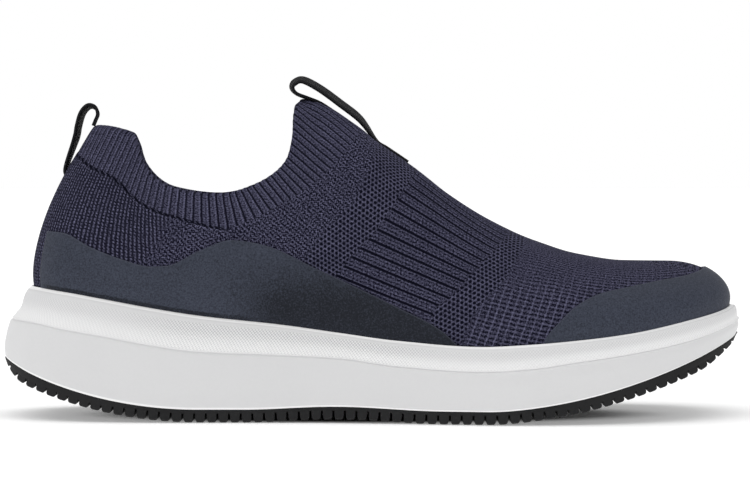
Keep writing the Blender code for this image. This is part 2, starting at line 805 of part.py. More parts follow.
def edge_cutter(name, rows, corners):
    """A prism through the shoe that leaves the film's side of its edge."""
    alongs = np.array([row.along for row in rows])
    places = np.interp(np.arange(0, len(rows) - 1 + 1 / EDGE_STEPS, 1 / EDGE_STEPS), range(len(rows)), alongs)
    outline_points = [(LENGTH * along, TONGUE_HEIGHT * read(rows, "up", along)) for along in places] + corners
    reach = BALL_WIDTH
    near = [np.array([x, -reach, z]) for x, z in outline_points]
    far = [np.array([x, reach, z]) for x, z in outline_points]
    count = len(near)
    faces = [tuple(range(count)), tuple(range(2 * count - 1, count - 1, -1))]
    for i in range(count):
        j = (i + 1) % count
        faces.append((j, i, i + count, j + count))
    item = add_object(name, near + far, faces, "film")
    item.hide_render = True
    item.display_type = "WIRE"
    return item


def trim(item, cutter):
    modifier = item.modifiers.new("trim", "BOOLEAN")
    modifier.operation = "DIFFERENCE"
    modifier.solver = "EXACT"
    modifier.object = cutter


def films():
    above = 2 * TONGUE_HEIGHT
    ahead = QUARTER_EDGE[-1].along * LENGTH
    heel_corners = [(ahead, 0.0), (LENGTH, 0.0), (LENGTH, above), (QUARTER_EDGE[0].along * LENGTH, above)]
    quarter_cutter = edge_cutter("quarter_cutter", QUARTER_EDGE, heel_corners)
    toe_corners = [(TOE_EDGE[-1].along * LENGTH, above), (0.0, above), (0.0, 0.0)]
    toe_corners.append((TOE_EDGE[0].along * LENGTH, 0.0))
    toe_cutter = edge_cutter("toe_cutter", TOE_EDGE, toe_corners)
    front = next(c for c in range(COLUMNS) if outline(TURNS[c], -1, True)[0] > ahead) + FILM_SPARE
    made = []
    for name, side in (("film_lateral", -1), ("film_medial", 1)):
        film = shell(name, list(range(FILM_BACK, front + 1)), (side,))
        trim(film, quarter_cutter)
        made.append(film)
    behind = TOE_EDGE[0].along * LENGTH
    back = next(c for c in range(COLUMNS) if outline(TURNS[c], -1, True)[0] > behind) - FILM_SPARE
    film = shell("film_toe", list(range(back, COLUMNS + 1)), (-1, 1))
    trim(film, toe_cutter)
    return made + [film], [quarter_cutter, toe_cutter]


# Webbing loops


def smooth_path(knots):
    """Points on a curve through the knots, which are in the shoe's middle plane."""
    knots = [np.array(knot, float) for knot in knots]
    padded = [2 * knots[0] - knots[1]] + knots + [2 * knots[-1] - knots[-2]]
    path = []
    for i in range(1, len(padded) - 2):
        a, b, c, d = padded[i - 1:i + 3]
        for k in range(BOW_STEPS):
            t = k / BOW_STEPS
            path.append(0.5 * (2 * b + (c - a) * t + (2 * a - 5 * b + 4 * c - d) * t * t
                               + (3 * b - a - 3 * c + d) * t ** 3))
    return path + [knots[-1]]


def ribbon(name, path, width, shift):
    """Flat webbing along a path of x and z; shift is its middle's y."""
    points = []
    for i, (x, z) in enumerate(path):
        ahead = path[min(i + 1, len(path) - 1)] - path[max(i - 1, 0)]
        ahead = ahead / np.linalg.norm(ahead)
        normal = np.array([-ahead[1], ahead[0]])
        for face in (-1, 1):
            for across in (-1, 0, 1):
                px, pz = np.array([x, z]) + normal * face * WEBBING_THICKNESS / 2
                points.append(np.array([px, shift[i] + across * width / 2, pz]))
    around = (0, 1, 2, 5, 4, 3)
    faces = []
    for i in range(len(path) - 1):
        for k in range(6):
            a, b = around[k], around[(k + 1) % 6]
            faces.append((6 * i + a, 6 * i + b, 6 * i + 6 + b, 6 * i + 6 + a))
    end = 6 * (len(path) - 1)
    faces.append(tuple(around[::-1]))
    faces.append(tuple(end + k for k in around))
    return add_object(name, points, faces, "webbing", sharp=50)


def heel_loop():
    """Sewn to the back of the heel panel, over the collar's edge and down on to its rim."""
    off = FIT + WEBBING_THICKNESS / 2
    rim = upper_point(0, -1, 1.0)
    back = np.array([upper_point(0, -1, share) for share in shares_of(0)])
    sewn = []
    for drop in HEEL_LOOP_SEWN:
        level = rim[2] - HEEL_LOOP_DROP * drop
        sewn.append((float(np.interp(level, back[:, 2], back[:, 0])) - off, level))
    crest = np.array([rim[0] + COLLAR_WALL / 2, rim[2] + RIM_ROUND])
    free = [crest + np.array([row.along, row.up]) * HEEL_LOOP_RISE for row in HEEL_LOOP]
    path = smooth_path(sewn + free + [crest + np.array([0.0, FIT])])
    return ribbon("heel_loop", path, HEEL_WEBBING_WIDTH, [0.0] * len(path))


def tongue_loop():
    """Sewn down on the ridge, bowed back over the tongue's top and laid under itself."""
    clear = FIT + WEBBING_THICKNESS / 2
    tip = ridge_point(RIDGE[0].along)
    tops = np.array([ray(column, -1).top for column in range(THROAT, COLUMNS + 1)])

    def ridge_at(x):
        return np.array([x, np.interp(x, tops[:, 0], tops[:, 2])])

    def on_ridge(along):
        here = ridge_at(LENGTH * along)
        step = ridge_at(LENGTH * along + clear) - ridge_at(LENGTH * along - clear)
        normal = np.array([-step[1], step[0]]) / math.hypot(*step)
        return here + normal * (clear + LOOP_LIFT)

    sewn = [on_ridge(along) for along in np.linspace(*TONGUE_LOOP_ENDS, 4)]
    start = np.array([tip[0], tip[2]])
    free = [start + np.array([row.along, row.up]) * TONGUE_LOOP_RISE for row in TONGUE_LOOP]
    under = [on_ridge(along) for along in np.linspace(*TONGUE_LOOP_UNDER, 6)]
    path = smooth_path(sewn + free + under)
    shift = [read(RIDGE, "shift", x / LENGTH) * BALL_WIDTH / 2 for x, z in path]
    return ribbon("tongue_loop", path, TONGUE_WEBBING_WIDTH, shift)


def stand_on_origin(items, cutters):
    """Parent everything to one empty that puts the origin at the middle of the base."""
    corners = np.array([vertex.co[:] for item in items for vertex in item.data.vertices])
    low, high = corners.min(axis=0), corners.max(axis=0)
    shoe = bpy.data.objects.new("shoe", None)
    bpy.context.collection.objects.link(shoe)
    shoe.location = (-(low[0] + high[0]) / 2, -(low[1] + high[1]) / 2, -low[2])
    for item in items + cutters:
        item.parent = shoe


def main():
    clear_scene()
    bottoms = [outsole(), midsole(), insole()]
    knit = upper()
    skins, cutters = films()
    loops = [heel_loop(), tongue_loop()]
    stand_on_origin(bottoms + [knit] + loops + skins, cutters)


main()
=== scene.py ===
# Slip-on sneaker for the right foot: knit, films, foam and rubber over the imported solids.
# Lengths are in metres and pattern sizes in millimetres. The shoe is worked out from its heel at
# X = 0, as in the source, and each piece is moved by shoeShift at the end.
import math

import bpy
import numpy as np
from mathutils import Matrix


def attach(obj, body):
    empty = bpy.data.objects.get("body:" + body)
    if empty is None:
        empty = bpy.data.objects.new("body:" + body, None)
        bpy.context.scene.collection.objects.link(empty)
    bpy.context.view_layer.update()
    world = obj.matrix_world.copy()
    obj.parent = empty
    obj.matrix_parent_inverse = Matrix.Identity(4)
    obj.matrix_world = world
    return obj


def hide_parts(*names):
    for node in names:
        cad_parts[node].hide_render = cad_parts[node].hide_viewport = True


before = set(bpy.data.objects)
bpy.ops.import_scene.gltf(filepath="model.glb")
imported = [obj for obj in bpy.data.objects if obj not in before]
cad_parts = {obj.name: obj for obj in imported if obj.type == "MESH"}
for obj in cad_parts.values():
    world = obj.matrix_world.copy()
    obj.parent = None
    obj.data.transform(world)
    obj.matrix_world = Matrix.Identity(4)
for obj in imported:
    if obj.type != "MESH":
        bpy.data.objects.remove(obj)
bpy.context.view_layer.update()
print("frame loaded")

# The last and the sole's outline

shoe = {
    "length": 0.300,
    "ballWidth": 0.1065,
    "heelWidth": 0.081,
    "heelOverhang": 0.012,
    "toeOverhang": 0.0056,
    "widening": (0.30, 0.38),
    "forefoot": (0.35, 0.40),
    "fit": 0.0003,
    "columns": 38,
    "throat": 18,
}
shoeShift = np.array([-shoe["length"] / 2, 0.0, 0.0])

plan = {
    "along": [0, .017, .05, .1, .167, .25, .333, .433, .533, .617, .683, .733, .783, .833, .883, .933, .967, .99, 1],
    "lateral": [0, .42, .716, .889, .975, 1, .993, .941, .939, .975, 1, .995, .967, .892, .77, .582, .376, .16, -.113],
    "medial": [0, .42, .716, .901, .975, .963, .882, .76, .724, .813, .92, .986, .999, .977, .911, .77, .601, .376,
               .113],
    "lastLateral": [0, .358, .593, .716, .778, .805, .816, .805, .827, .876, .911, .907, .89, .832, .722, .545, .348,
                    .144, -.113],
    "lastMedial": [0, .358, .593, .723, .78, .773, .711, .612, .612, .707, .817, .892, .92, .903, .842, .712, .552,
                   .345, .113],
}

foam = {
    "along": [0, .045, .09, .14, .205, .27, .38, .46, .53, .64, .7, .77, .84, .92, .97, 1],
    "rim": [1, .97, .905, .796, .64, .505, .348, .205, .088, 0, .055, .17, .33, .62, .82, 1],
    "step": [1, .955, .828, .7, .51, .37, .3, .235, .09, 0, .055, .215, .37, .61, .83, 1],
    "cup": [1, 1, .92, .8, .66, .54, .46, .42, .4, .4, .4, .4, .4, .4, .38, .36],
}
foamHeights = {"rim": (0.0527, 0.0301, 0.0455), "step": (0.0395, 0.0209, 0.0392), "ballAt": 0.64, "cupDepth": 0.0165}

keel = {
    "tread": 0.0053, "heelRoll": 0.0192, "heelFlat": 0.27, "heelCurve": 2.0, "toeSpring": 0.0286, "toeFlat": 0.65,
    "toeCurve": 1.70, "archRise": 0.0013, "archFrom": 0.327, "archTo": 0.587,
}

side = {
    "down": [0, .1, .3, .6, .82, 1, 1.07, 1.4, 1.75, 2],
    "heel": [.9, .78, .67, .57, .4, .24, .19, .07, 0, .02],
    "fore": [.56, .34, .24, .2, .17, 0, .14, .08, .16, .28],
}


def ease(share):
    share = np.clip(share, 0.0, 1.0)
    return share * share * (3 - 2 * share)


def smooth(keys, values, at):
    # a curve through the rows that never swings past them
    keys, values = np.asarray(keys, float), np.asarray(values, float)
    steps = np.diff(keys)
    slopes = np.diff(values) / steps
    tangents = np.zeros(len(keys))
    tangents[0], tangents[-1] = slopes[0], slopes[-1]
    for i in range(1, len(keys) - 1):
        if slopes[i - 1] * slopes[i] > 0:
            before, after = 2 * steps[i] + steps[i - 1], steps[i] + 2 * steps[i - 1]
            tangents[i] = (before + after) / (before / slopes[i - 1] + after / slopes[i])
    at = np.clip(at, keys[0], keys[-1])
    i = np.clip(np.searchsorted(keys, at, side="right") - 1, 0, len(steps) - 1)
    t = (at - keys[i]) / steps[i]
    start = (1 + 2 * t) * (1 - t) ** 2 * values[i] + t * t * (3 - 2 * t) * values[i + 1]
    return start + (t * (1 - t) ** 2 * tangents[i] - t * t * (1 - t) * tangents[i + 1]) * steps[i]


def read(table, name, at):
    return smooth(table[next(iter(table))], table[name], at)


planTurns = np.arccos(1 - 2 * np.array(plan["along"]))


def outline(turn, flank, last):
    # x and y of the foam's or the last's outline; flank is -1 outer side, 1 inner side
    name = "lateral" if flank < 0 else "medial"
    if last:
        name = "last" + name.capitalize()
    along = (1 - np.cos(turn)) / 2
    widen = ease((along - shoe["widening"][0]) / shoe["widening"][1])
    half = (shoe["heelWidth"] + (shoe["ballWidth"] - shoe["heelWidth"]) * widen) / 2
    start = shoe["heelOverhang"] if last else 0.0
    end = shoe["length"] - (shoe["toeOverhang"] if last else 0.0)
    return np.stack([start + (end - start) * along, flank * smooth(planTurns, plan[name], turn) * half], -1)


def outward(turn, flank):
    step = 0.02
    run = outline(np.minimum(turn + step, math.pi), flank, True) - outline(np.maximum(turn - step, 0), flank, True)
    normal = np.stack([-run[..., 1], run[..., 0]], -1) * flank
    normal /= np.linalg.norm(normal, axis=-1, keepdims=True)
    for reach, face in ((turn / step, -1.0), ((math.pi - turn) / step, 1.0)):
        pull = (1 - ease(reach / 2))[..., None]
        normal = normal * (1 - pull) + np.array([face, 0.0]) * pull
    return normal / np.linalg.norm(normal, axis=-1, keepdims=True)


def foamHeight(name, x):
    along = x / shoe["length"]
    heel, ball, toe = foamHeights[name]
    end = np.where(along < foamHeights["ballAt"], heel, toe)
    return ball + read(foam, name, along) * (end - ball)


def cupFloor(x):
    return foamHeight("rim", x) - foamHeights["cupDepth"] * read(foam, "cup", x / shoe["length"])


def keelHeight(x):
    along = x / shoe["length"]
    heel = np.maximum(0, 1 - along / keel["heelFlat"]) ** keel["heelCurve"]
    toe = np.maximum(0, (along - keel["toeFlat"]) / (1 - keel["toeFlat"])) ** keel["toeCurve"]
    arch = np.sin(math.pi * np.clip((along - keel["archFrom"]) / (keel["archTo"] - keel["archFrom"]), 0, 1)) ** 2
    return keel["tread"] + keel["heelRoll"] * heel + keel["toeSpring"] * toe + keel["archRise"] * arch


# Shader writing


class Value:
    # one socket that carries a number, so that shader maths reads as Python
    def __init__(self, maker, socket):
        self.maker, self.socket = maker, socket

    def math(self, operation, *others):
        return self.maker.math(operation, self, *others)

    def __add__(self, other):
        return self.math("ADD", other)

    def __mul__(self, other):
        return self.math("MULTIPLY", other)

    __radd__, __rmul__ = __add__, __mul__

    def __sub__(self, other):
        return self.math("SUBTRACT", other)

    def __rsub__(self, other):
        return self.maker.math("SUBTRACT", other, self)

    def __truediv__(self, other):
        return self.math("DIVIDE", other)

    def __pow__(self, other):
        return self.math("POWER", other)

    def clamp(self):
        return self.maker.value("ShaderNodeClamp", {}, {0: self})

    def size(self):
        return self.math("ABSOLUTE")

    def whole(self):
        return self.math("FLOOR")

    def part(self):
        return self.math("FRACT")

    def cos(self):
        return self.math("COSINE")


class Nodes:
    # writes the nodes of one tree
    def __init__(self, tree):
        self.tree = tree

    def fill(self, socket, amount):
        amount = amount.socket if isinstance(amount, Value) else amount
        if isinstance(amount, bpy.types.NodeSocket):
            self.tree.links.new(amount, socket)
        else:
            socket.default_value = amount

    def node(self, kind, settings, sockets):
        made = self.tree.nodes.new(kind)
        for key, amount in settings.items():
            setattr(made, key, amount)
        for key, amount in sockets.items():
            self.fill(made.inputs[key], amount)
        return made

    def value(self, kind, settings, sockets, output=0):
        return Value(self, self.node(kind, settings, sockets).outputs[output])

    def math(self, operation, *numbers):
        return self.value("ShaderNodeMath", {"operation": operation}, dict(enumerate(numbers)))

    def read(self, *names):
        # the marks of the mesh
        made = [self.value("ShaderNodeAttribute", {"attribute_name": name}, {}, 2) for name in names]
        return made if len(made) > 1 else made[0]

    def place(self):
        return self.node("ShaderNodeTexCoord", {}, {}).outputs[3]

    def noise(self, scale, detail, where=None, roughness=0.5):
        sockets = {"Vector": where or self.place(), "Scale": scale, "Detail": detail, "Roughness": roughness}
        return self.value("ShaderNodeTexNoise", {}, sockets)

    def join(self, x, y):
        return self.node("ShaderNodeCombineXYZ", {}, {0: x, 1: y}).outputs[0]

    def mix(self, share, low, high):
        # colours or links to them; the share is held between 0 and 1
        low, high = [(*colour, 1) if isinstance(colour, tuple) else colour for colour in (low, high)]
        settings = {"data_type": "RGBA", "clamp_factor": True}
        return self.node("ShaderNodeMix", settings, {0: share, 6: low, 7: high}).outputs[2]


class Finish(Nodes):
    # one material
    def __init__(self, name, base, roughness, fixed):
        self.material = bpy.data.materials.new(name)
        self.material.use_nodes = True
        self.material.diffuse_color = (*base, 1)
        super().__init__(self.material.node_tree)
        self.shader = self.tree.nodes["Principled BSDF"]
        self.set("Base Color", (*base, 1))
        self.set("Roughness", roughness)
        for key, amount in fixed.items():
            self.set(key, amount)

    def set(self, name, amount):
        self.fill(self.shader.inputs[name], amount)

    def tint(self, share, low, high):
        self.set("Base Color", self.mix(share, low, high))

    def bump(self, height, strength=1.0):
        # height in millimetres
        made = self.node("ShaderNodeBump", {}, {"Strength": strength, "Distance": 0.001, "Height": height})
        self.set("Normal", made.outputs[0])


def rise(value, low, high):
    # 0 below low and 1 above high
    share = ((value - low) * (1.0 / (high - low))).clamp()
    return share * share * (3 - 2 * share)


def wave(value, pitch):
    # 1 on each multiple of the pitch, 0 half way between
    return (value * (2 * math.pi / pitch)).cos() * 0.5 + 0.5


def blend(share, low, high):
    # a number that goes from low to high
    return low + (high - low) * share


# Meshes


def addObject(name, data):
    item = bpy.data.objects.new(name, data)
    bpy.context.scene.collection.objects.link(item)
    return item


def addPiece(name, points, faces, materials, node, marks, sharp, kinds=None):
    # marks are numbers on the points that the materials read, kinds the material of each face
    used = np.unique(np.concatenate([np.asarray(face) for face in faces]))
    order = np.full(len(points), -1)
    order[used] = np.arange(len(used))
    mesh = bpy.data.meshes.new(name)
    mesh.from_pydata((np.asarray(points)[used] + shoeShift).tolist(), [], [order[face].tolist() for face in faces])
    for key, numbers in marks.items():
        mesh.attributes.new(key, "FLOAT", "POINT").data.foreach_set("value", numbers[used].astype(np.float32))
    for finish in materials:
        mesh.materials.append(finish.material)
    if kinds:
        mesh.polygons.foreach_set("material_index", np.asarray(kinds, np.int32))
    mesh.validate()
    mesh.update()
    mesh.shade_smooth()
    mesh.set_sharp_from_angle(angle=math.radians(sharp))
    piece = addObject(name, mesh)
    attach(piece, "root")
    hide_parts(node)
    print(name, len(mesh.polygons), "faces")
    return piece


def gridFaces(grid, flip=False, closed=False):
    # quads over an array of point numbers
    grid = np.asarray(grid)
    if closed:
        grid = np.concatenate([grid, grid[:1]])
    a, b, c, d = grid[:-1, :-1], grid[1:, :-1], grid[1:, 1:], grid[:-1, 1:]
    quads = np.stack([a, b, c, d], -1).reshape(-1, 4)
    if flip:
        quads = quads[:, ::-1]
    corners = [list(dict.fromkeys(quad)) for quad in quads.tolist()]
    return [face for face in corners if len(face) > 2]


def ringPoints(turns, place):
    # a closed ring round the shoe: out along the outer side and back along the inner one
    outer = place(turns, -1)
    inner = place(turns[1:-1], 1)
    return np.concatenate([outer, inner[::-1]])


def halves(ring):
    # the outer and the inner side of a closed ring, each from the heel to the toe
    count = len(ring) // 2 + 1
    return ring[:count], np.concatenate([ring[:1], ring[count:][::-1], ring[count - 1:count]])


def lid(ring, flip=False):
    return gridFaces(np.stack(halves(ring), -1), flip)


def runningSum(steps, axis=0):
    # adds the steps up from 0 at the first point
    return np.cumsum(np.insert(steps, 0, 0, axis), axis)


def stepLengths(points, axis=0):
    return np.linalg.norm(np.diff(points, axis=axis), axis=-1)


class Sheets:
    # grids of points on the two sides of the shoe, gathered for one piece
    def __init__(self):
        self.points, self.marks, self.grids = np.zeros((0, 3)), {}, {}

    def add(self, flank, sheet, marks):
        rows, columns = sheet.shape[:2]
        self.grids[flank] = len(self.points) + np.arange(rows * columns).reshape(rows, columns)
        self.points = np.concatenate([self.points, sheet.reshape(-1, 3)])
        for key, numbers in marks.items():
            self.marks[key] = np.concatenate([self.marks.get(key, np.zeros(0)), numbers.ravel()])


# Midsole

foamLook = {
    "turnSteps": 300,
    "bead": 0.0006,  # the rim's rounded bead stands over its edge
    "base": (0.735, 0.735, 0.74),
    # the darker foam colour: the texture's grooves, and painted shade on the band and at the step
    "groovesAndShade": (0.42, 0.42, 0.435),
    "bright": (0.95, 0.95, 0.95),
    "texturePitch": 1.28,
    "textureFrom": (60.0, 100.0),  # it is faint behind and ahead of here
    "textureTo": (165.0, 200.0),
    "stepGroove": 0.00045,
    "grooveReach": 0.022,
    "lean": 0.0006,  # the cup narrows by this to its floor
}


def sidePoints(turns, flank, down):
    sole, last = outline(turns, flank, False), outline(turns, flank, True)
    fore = ease(((1 - np.cos(turns)) / 2 - shoe["forefoot"][0]) / shoe["forefoot"][1])
    heelIn, foreIn = read(side, "heel", down), read(side, "fore", down)
    place = sole + (last - sole) * (heelIn + (foreIn - heelIn) * fore)[..., None]
    groove = foamLook["stepGroove"] * math.exp(-((down - 1) / foamLook["grooveReach"]) ** 2)
    place = place - outward(turns, flank) * groove
    rim, step, low = foamHeight("rim", place[..., 0]), foamHeight("step", place[..., 0]), keelHeight(place[..., 0])
    height = rim + (step - rim) * down if down <= 1 else step + (low - step) * (down - 1)
    return np.concatenate([place, height[..., None]], -1)


def makeFoam():
    finish = Finish("mouldedFoam", foamLook["base"], 0.5, {"Specular IOR Level": 0.25})
    down, around, level = finish.read("down", "around", "height")
    pitch = foamLook["texturePitch"]
    band = rise(down, 0.14, 0.22) * (1 - rise(down, 0.9, 0.98))
    clear = 0.35 + 0.65 * rise(around, *foamLook["textureFrom"]) * (1 - rise(around, *foamLook["textureTo"]))
    weave = (wave(around + level, pitch) + wave(around - level, pitch)) * 0.5 * clear
    grain, cloud = finish.noise(900.0, 2.0), finish.noise(35.0, 2.0)
    # painted shade: the top part of the textured band, which faces down, and a thin line along the step under it are
    # painted darker
    upper = band * (1 - rise(down, 0.30, 0.75))
    stepShade = 1 - rise((down - 1.0).size(), 0.012, 0.035)
    shade = weave * band * 1.05 + grain * 0.07 + cloud * 0.09 + upper * 0.10 + stepShade * 0.14
    colour = finish.mix(shade, foamLook["base"], foamLook["groovesAndShade"])
    # painted highlight: the rim's bead and the band's foot, which faces up, are painted lighter; a thin line just
    # above the rubber is lighter too, and the band lightens between its grooves
    foot = rise(down, 0.35, 0.85) * (1 - rise(down, 0.985, 1.0))
    bright = (1 - rise(down, 0.035, 0.065)) + rise(down, 1.955, 1.975) + foot * 0.42
    bright = bright + band * (0.12 + (clear - weave) * 0.65)
    finish.tint(bright, colour, foamLook["bright"])
    finish.set("Roughness", blend(band, 0.42, 0.62))
    finish.bump(weave * band * -0.16 + grain * 0.02)

    turns = np.linspace(0, math.pi, foamLook["turnSteps"] + 1)
    downs = np.unique(np.concatenate([
        np.linspace(2, 1.1, 20), np.linspace(1.06, 0.94, 13), np.linspace(0.9, 0.16, 17), np.linspace(0.12, 0, 7),
    ]))[::-1]
    rings = [ringPoints(turns, lambda t, s: sidePoints(t, s, down)) for down in downs]

    def cupPoint(t, s, share):
        place = outline(t, s, True) + outward(t, s) * (shoe["fit"] - foamLook["lean"] * (1 - share))
        low = cupFloor(place[..., 0])
        height = low + (foamHeight("rim", place[..., 0]) - shoe["fit"] - low) * share
        return np.concatenate([place, height[..., None]], -1)

    edge, inner = rings[-1], ringPoints(turns, lambda t, s: cupPoint(t, s, 1.0))
    for share in (0.15, 0.35, 0.65, 0.9):
        arch = math.sin(math.pi * share) * foamLook["bead"]
        rings.append(edge + (inner - edge) * share + np.array([0, 0, arch]))
    rings.append(inner)
    rings += [ringPoints(turns, lambda t, s: cupPoint(t, s, share)) for share in (0.6, 0.0)]
    points = np.concatenate(rings)
    grid = np.arange(len(points)).reshape(len(rings), -1)
    faces = gridFaces(grid.T, closed=True) + lid(grid[0]) + lid(grid[-1], flip=True)
    middle = rings[len(downs) // 2]
    around = np.cumsum(stepLengths(np.concatenate([middle[-1:], middle]))) * 1000
    toe = around[len(turns) - 1]
    marks = {
        "down": np.repeat(list(downs) + [0.0] * (len(rings) - len(downs)), len(middle)),
        "around": np.tile(np.where(around > toe, toe * 2 - around, around), len(rings)),
        "height": points[:, 2] * 1000,
    }
    addPiece("midsoleFoam", points, faces, [finish], "midsole", marks, 50)


# Outsole

treadLook = {
    "lugHeight": 0.0022,
    "deeper": 0.0014,  # the lugs on the flat middle are this much taller
    "flat": (0.040, 0.228),
    "flatEnds": 0.016,
    "lugPitch": 0.0046,
    "lugGroove": 0.0008,
    "centreGroove": 0.0030,
    "inset": 0.0004,
    "heelWedge": 0.011,
    "toeWedge": 0.022,
    "wedgeCurve": 0.8,
    "margin": 0.0007,
    "base": (0.007, 0.007, 0.0075),
    "dusty": (0.020, 0.020, 0.021),
    # the lug's section: share of its width, share of its height
    "profile": [(0, 0), (.005, .5), (.03, .76), (.09, .92), (.2, 1), (.5, 1), (.76, .99), (.9, .9), (.965, .72),
                (.995, .42), (1, 0)],
}


def makeTread():
    finish = Finish("blackRubber", treadLook["base"], 0.6, {"Specular IOR Level": 0.2})
    grain, cloud = finish.noise(1400.0, 2.0), finish.noise(60.0, 3.0)
    finish.tint(cloud, treadLook["base"], treadLook["dusty"])
    finish.set("Roughness", blend(cloud, 0.5, 0.72))
    finish.bump(grain * 0.05)

    margin, fit = treadLook["margin"], shoe["fit"]
    turns = np.linspace(0.02, math.pi - 0.02, 361)
    edges = [sidePoints(turns, flank, 2.0) for flank in (-1, 1)]
    places = np.linspace(margin, shoe["length"] - margin, 601)
    lengths = runningSum(np.hypot(np.diff(places), np.diff(keelHeight(places))))
    total = lengths[-1]
    count = round(total / treadLook["lugPitch"])
    pitch = total / count

    def section(mark):
        # place, downward direction, edges, thinning and lug height at a length along the underside
        x = np.interp(mark, lengths, places)
        slope = (keelHeight(x + 0.0005) - keelHeight(x - 0.0005)) / 0.001
        down = np.array([slope, 0.0, -1.0]) / math.hypot(slope, 1)
        ends = (mark + margin) / treadLook["heelWedge"], (total - mark + margin) / treadLook["toeWedge"]
        wedge = min(1.0, *ends) ** treadLook["wedgeCurve"]
        flat = ease(min(x - treadLook["flat"][0], treadLook["flat"][1] - x) / treadLook["flatEnds"])
        lug = treadLook["lugHeight"] + treadLook["deeper"] * flat
        low, high = [np.interp(x, edge[:, 0], edge[:, 1]) for edge in edges]
        return x, down, low + treadLook["inset"], high - treadLook["inset"], wedge, lug

    points = []
    for mark in np.linspace(0, total, 3 * count + 1):
        x, down, low, high, wedge, lug = section(mark)
        top = np.array([x, 0.0, keelHeight(x) - fit])
        depth = (keel["tread"] - fit - lug) * wedge
        soft = min(0.0005, depth / 3)
        ring = [(low, 0.0), (low, depth - soft), (low + soft, depth)]
        ring += [(low + high - y, drop) for y, drop in ring[::-1]]
        points += [top + np.array([0, y, 0]) + down * drop for y, drop in ring]
    grid = np.arange(len(points)).reshape(-1, 6)
    faces = gridFaces(grid.T, flip=True, closed=True) + [grid[0].tolist(), grid[-1][::-1].tolist()]

    for i in range(count):
        ends = section(i * pitch), section((i + 1) * pitch - treadLook["lugGroove"])
        for half in (0, 1):
            block = []
            for across in (0.0, 0.02, 0.06, 0.94, 0.98, 1.0):
                soft = 1.0 - 0.22 * (1 - ease(min(across, 1 - across) / 0.06))
                for share, reach in treadLook["profile"]:
                    x, down, low, high, wedge, lug = [start + (stop - start) * share for start, stop in zip(*ends)]
                    sheet = keel["tread"] - fit - lug
                    middle, gap = (low + high) / 2, min(treadLook["centreGroove"], (high - low) / 4) / 2
                    a, b = (middle + gap, high) if half else (low, middle - gap)
                    depth = (sheet + lug * reach * soft) * wedge if reach else sheet * wedge * 0.7
                    top = np.array([x, a + (b - a) * across, keelHeight(x) - fit])
                    block.append(top + down * depth)
            grid = len(points) + np.arange(len(block)).reshape(6, -1)
            points += block
            faces += gridFaces(grid) + [grid[0].tolist(), grid[-1][::-1].tolist()]
    addPiece("outsoleRubber", points, faces, [finish], "outsole", {}, 40)


# The upper's own surface

upperShape = {
    "collarWidth": 0.056, "backHeight": 0.1168, "lowHeight": 0.0893, "tongueHeight": 0.1284, "toeBox": 0.0624,
    "swell": 0.0015, "puff": 0.0015, "wall": 0.0022, "collarWall": 0.0038, "rimRound": 0.0012, "footTuck": 0.0006,
    "lowColumn": 10,
    "innerSetBack": 0.0022,  # the inner side's collar lies this much nearer the heel between columns 2 and 12
}
collar = {
    "column": [0, 1, 2, 3, 4, 5, 6, 8, 10, 12, 14, 15, 16, 17, 18],
    "foot": [0, 9, 17, 24.5, 31, 37, 42.5, 52, 61, 68.7, 74.8, 77, 79, 81.2, 83.8],
    "along": [.1197, .124, .138, .155, .174, .1845, .194, .231, .29, .35, .385, .392, .3965, .4005, .403],
    "out": [0, .25, .46, .6, .69, .76, .82, .94, 1, .99, .92, .85, .73, .46, 0],
    "up": [1, .999, .985, .945, .88, .7, .43, .1, 0, .13, .37, .57, .775, .935, 1],
    "roll": [32, 32, 32, 32, 32, 32, 32, 34, 36, 40, 48, 54, 62, 74, 90],
}
fan = {
    "column": [18, 20, 23, 27, 31, 34, 36, 38],
    "foot": [83.8, 89.5, 100, 118, 139, 156.5, 168.5, 180],
    "along": [.403, .445, .557, .698, .81, .857, .88, .9],
}
ridge = {
    "along": [.403, .415, .43, .455, .509, .556, .597, .648, .716, .781, .835, .9],
    "up": [1, .99, .96, .888, .716, .57, .426, .278, .13, .039, .003, 0],
    "shift": [0, .01, .02, .03, .05, .07, .08, .1, .11, .12, .13, .14],
    "full": [2.3, 2.3, 2.28, 2.25, 2.15, 2.08, 2.02, 2, 2.05, 2.12, 2.2, 2.25],
}
seam = {
    "column": [0, 1, 4, 6, 8, 10, 12, 18, 38],
    "share": [.83, .81, .73, .745, .755, .705, .6, .62, .7],
    "puff": [.3, .6, 1, 1, .8, .4, 0, 0, 0],
}


def ridgePoint(along):
    height = upperShape["toeBox"] + read(ridge, "up", along) * (upperShape["tongueHeight"] - upperShape["toeBox"])
    return np.stack([shoe["length"] * along, read(ridge, "shift", along) * shoe["ballWidth"] / 2, height], -1)


def columnTurn(column):
    foot = np.where(column <= shoe["throat"], read(collar, "foot", column), read(fan, "foot", column))
    return np.radians(foot)


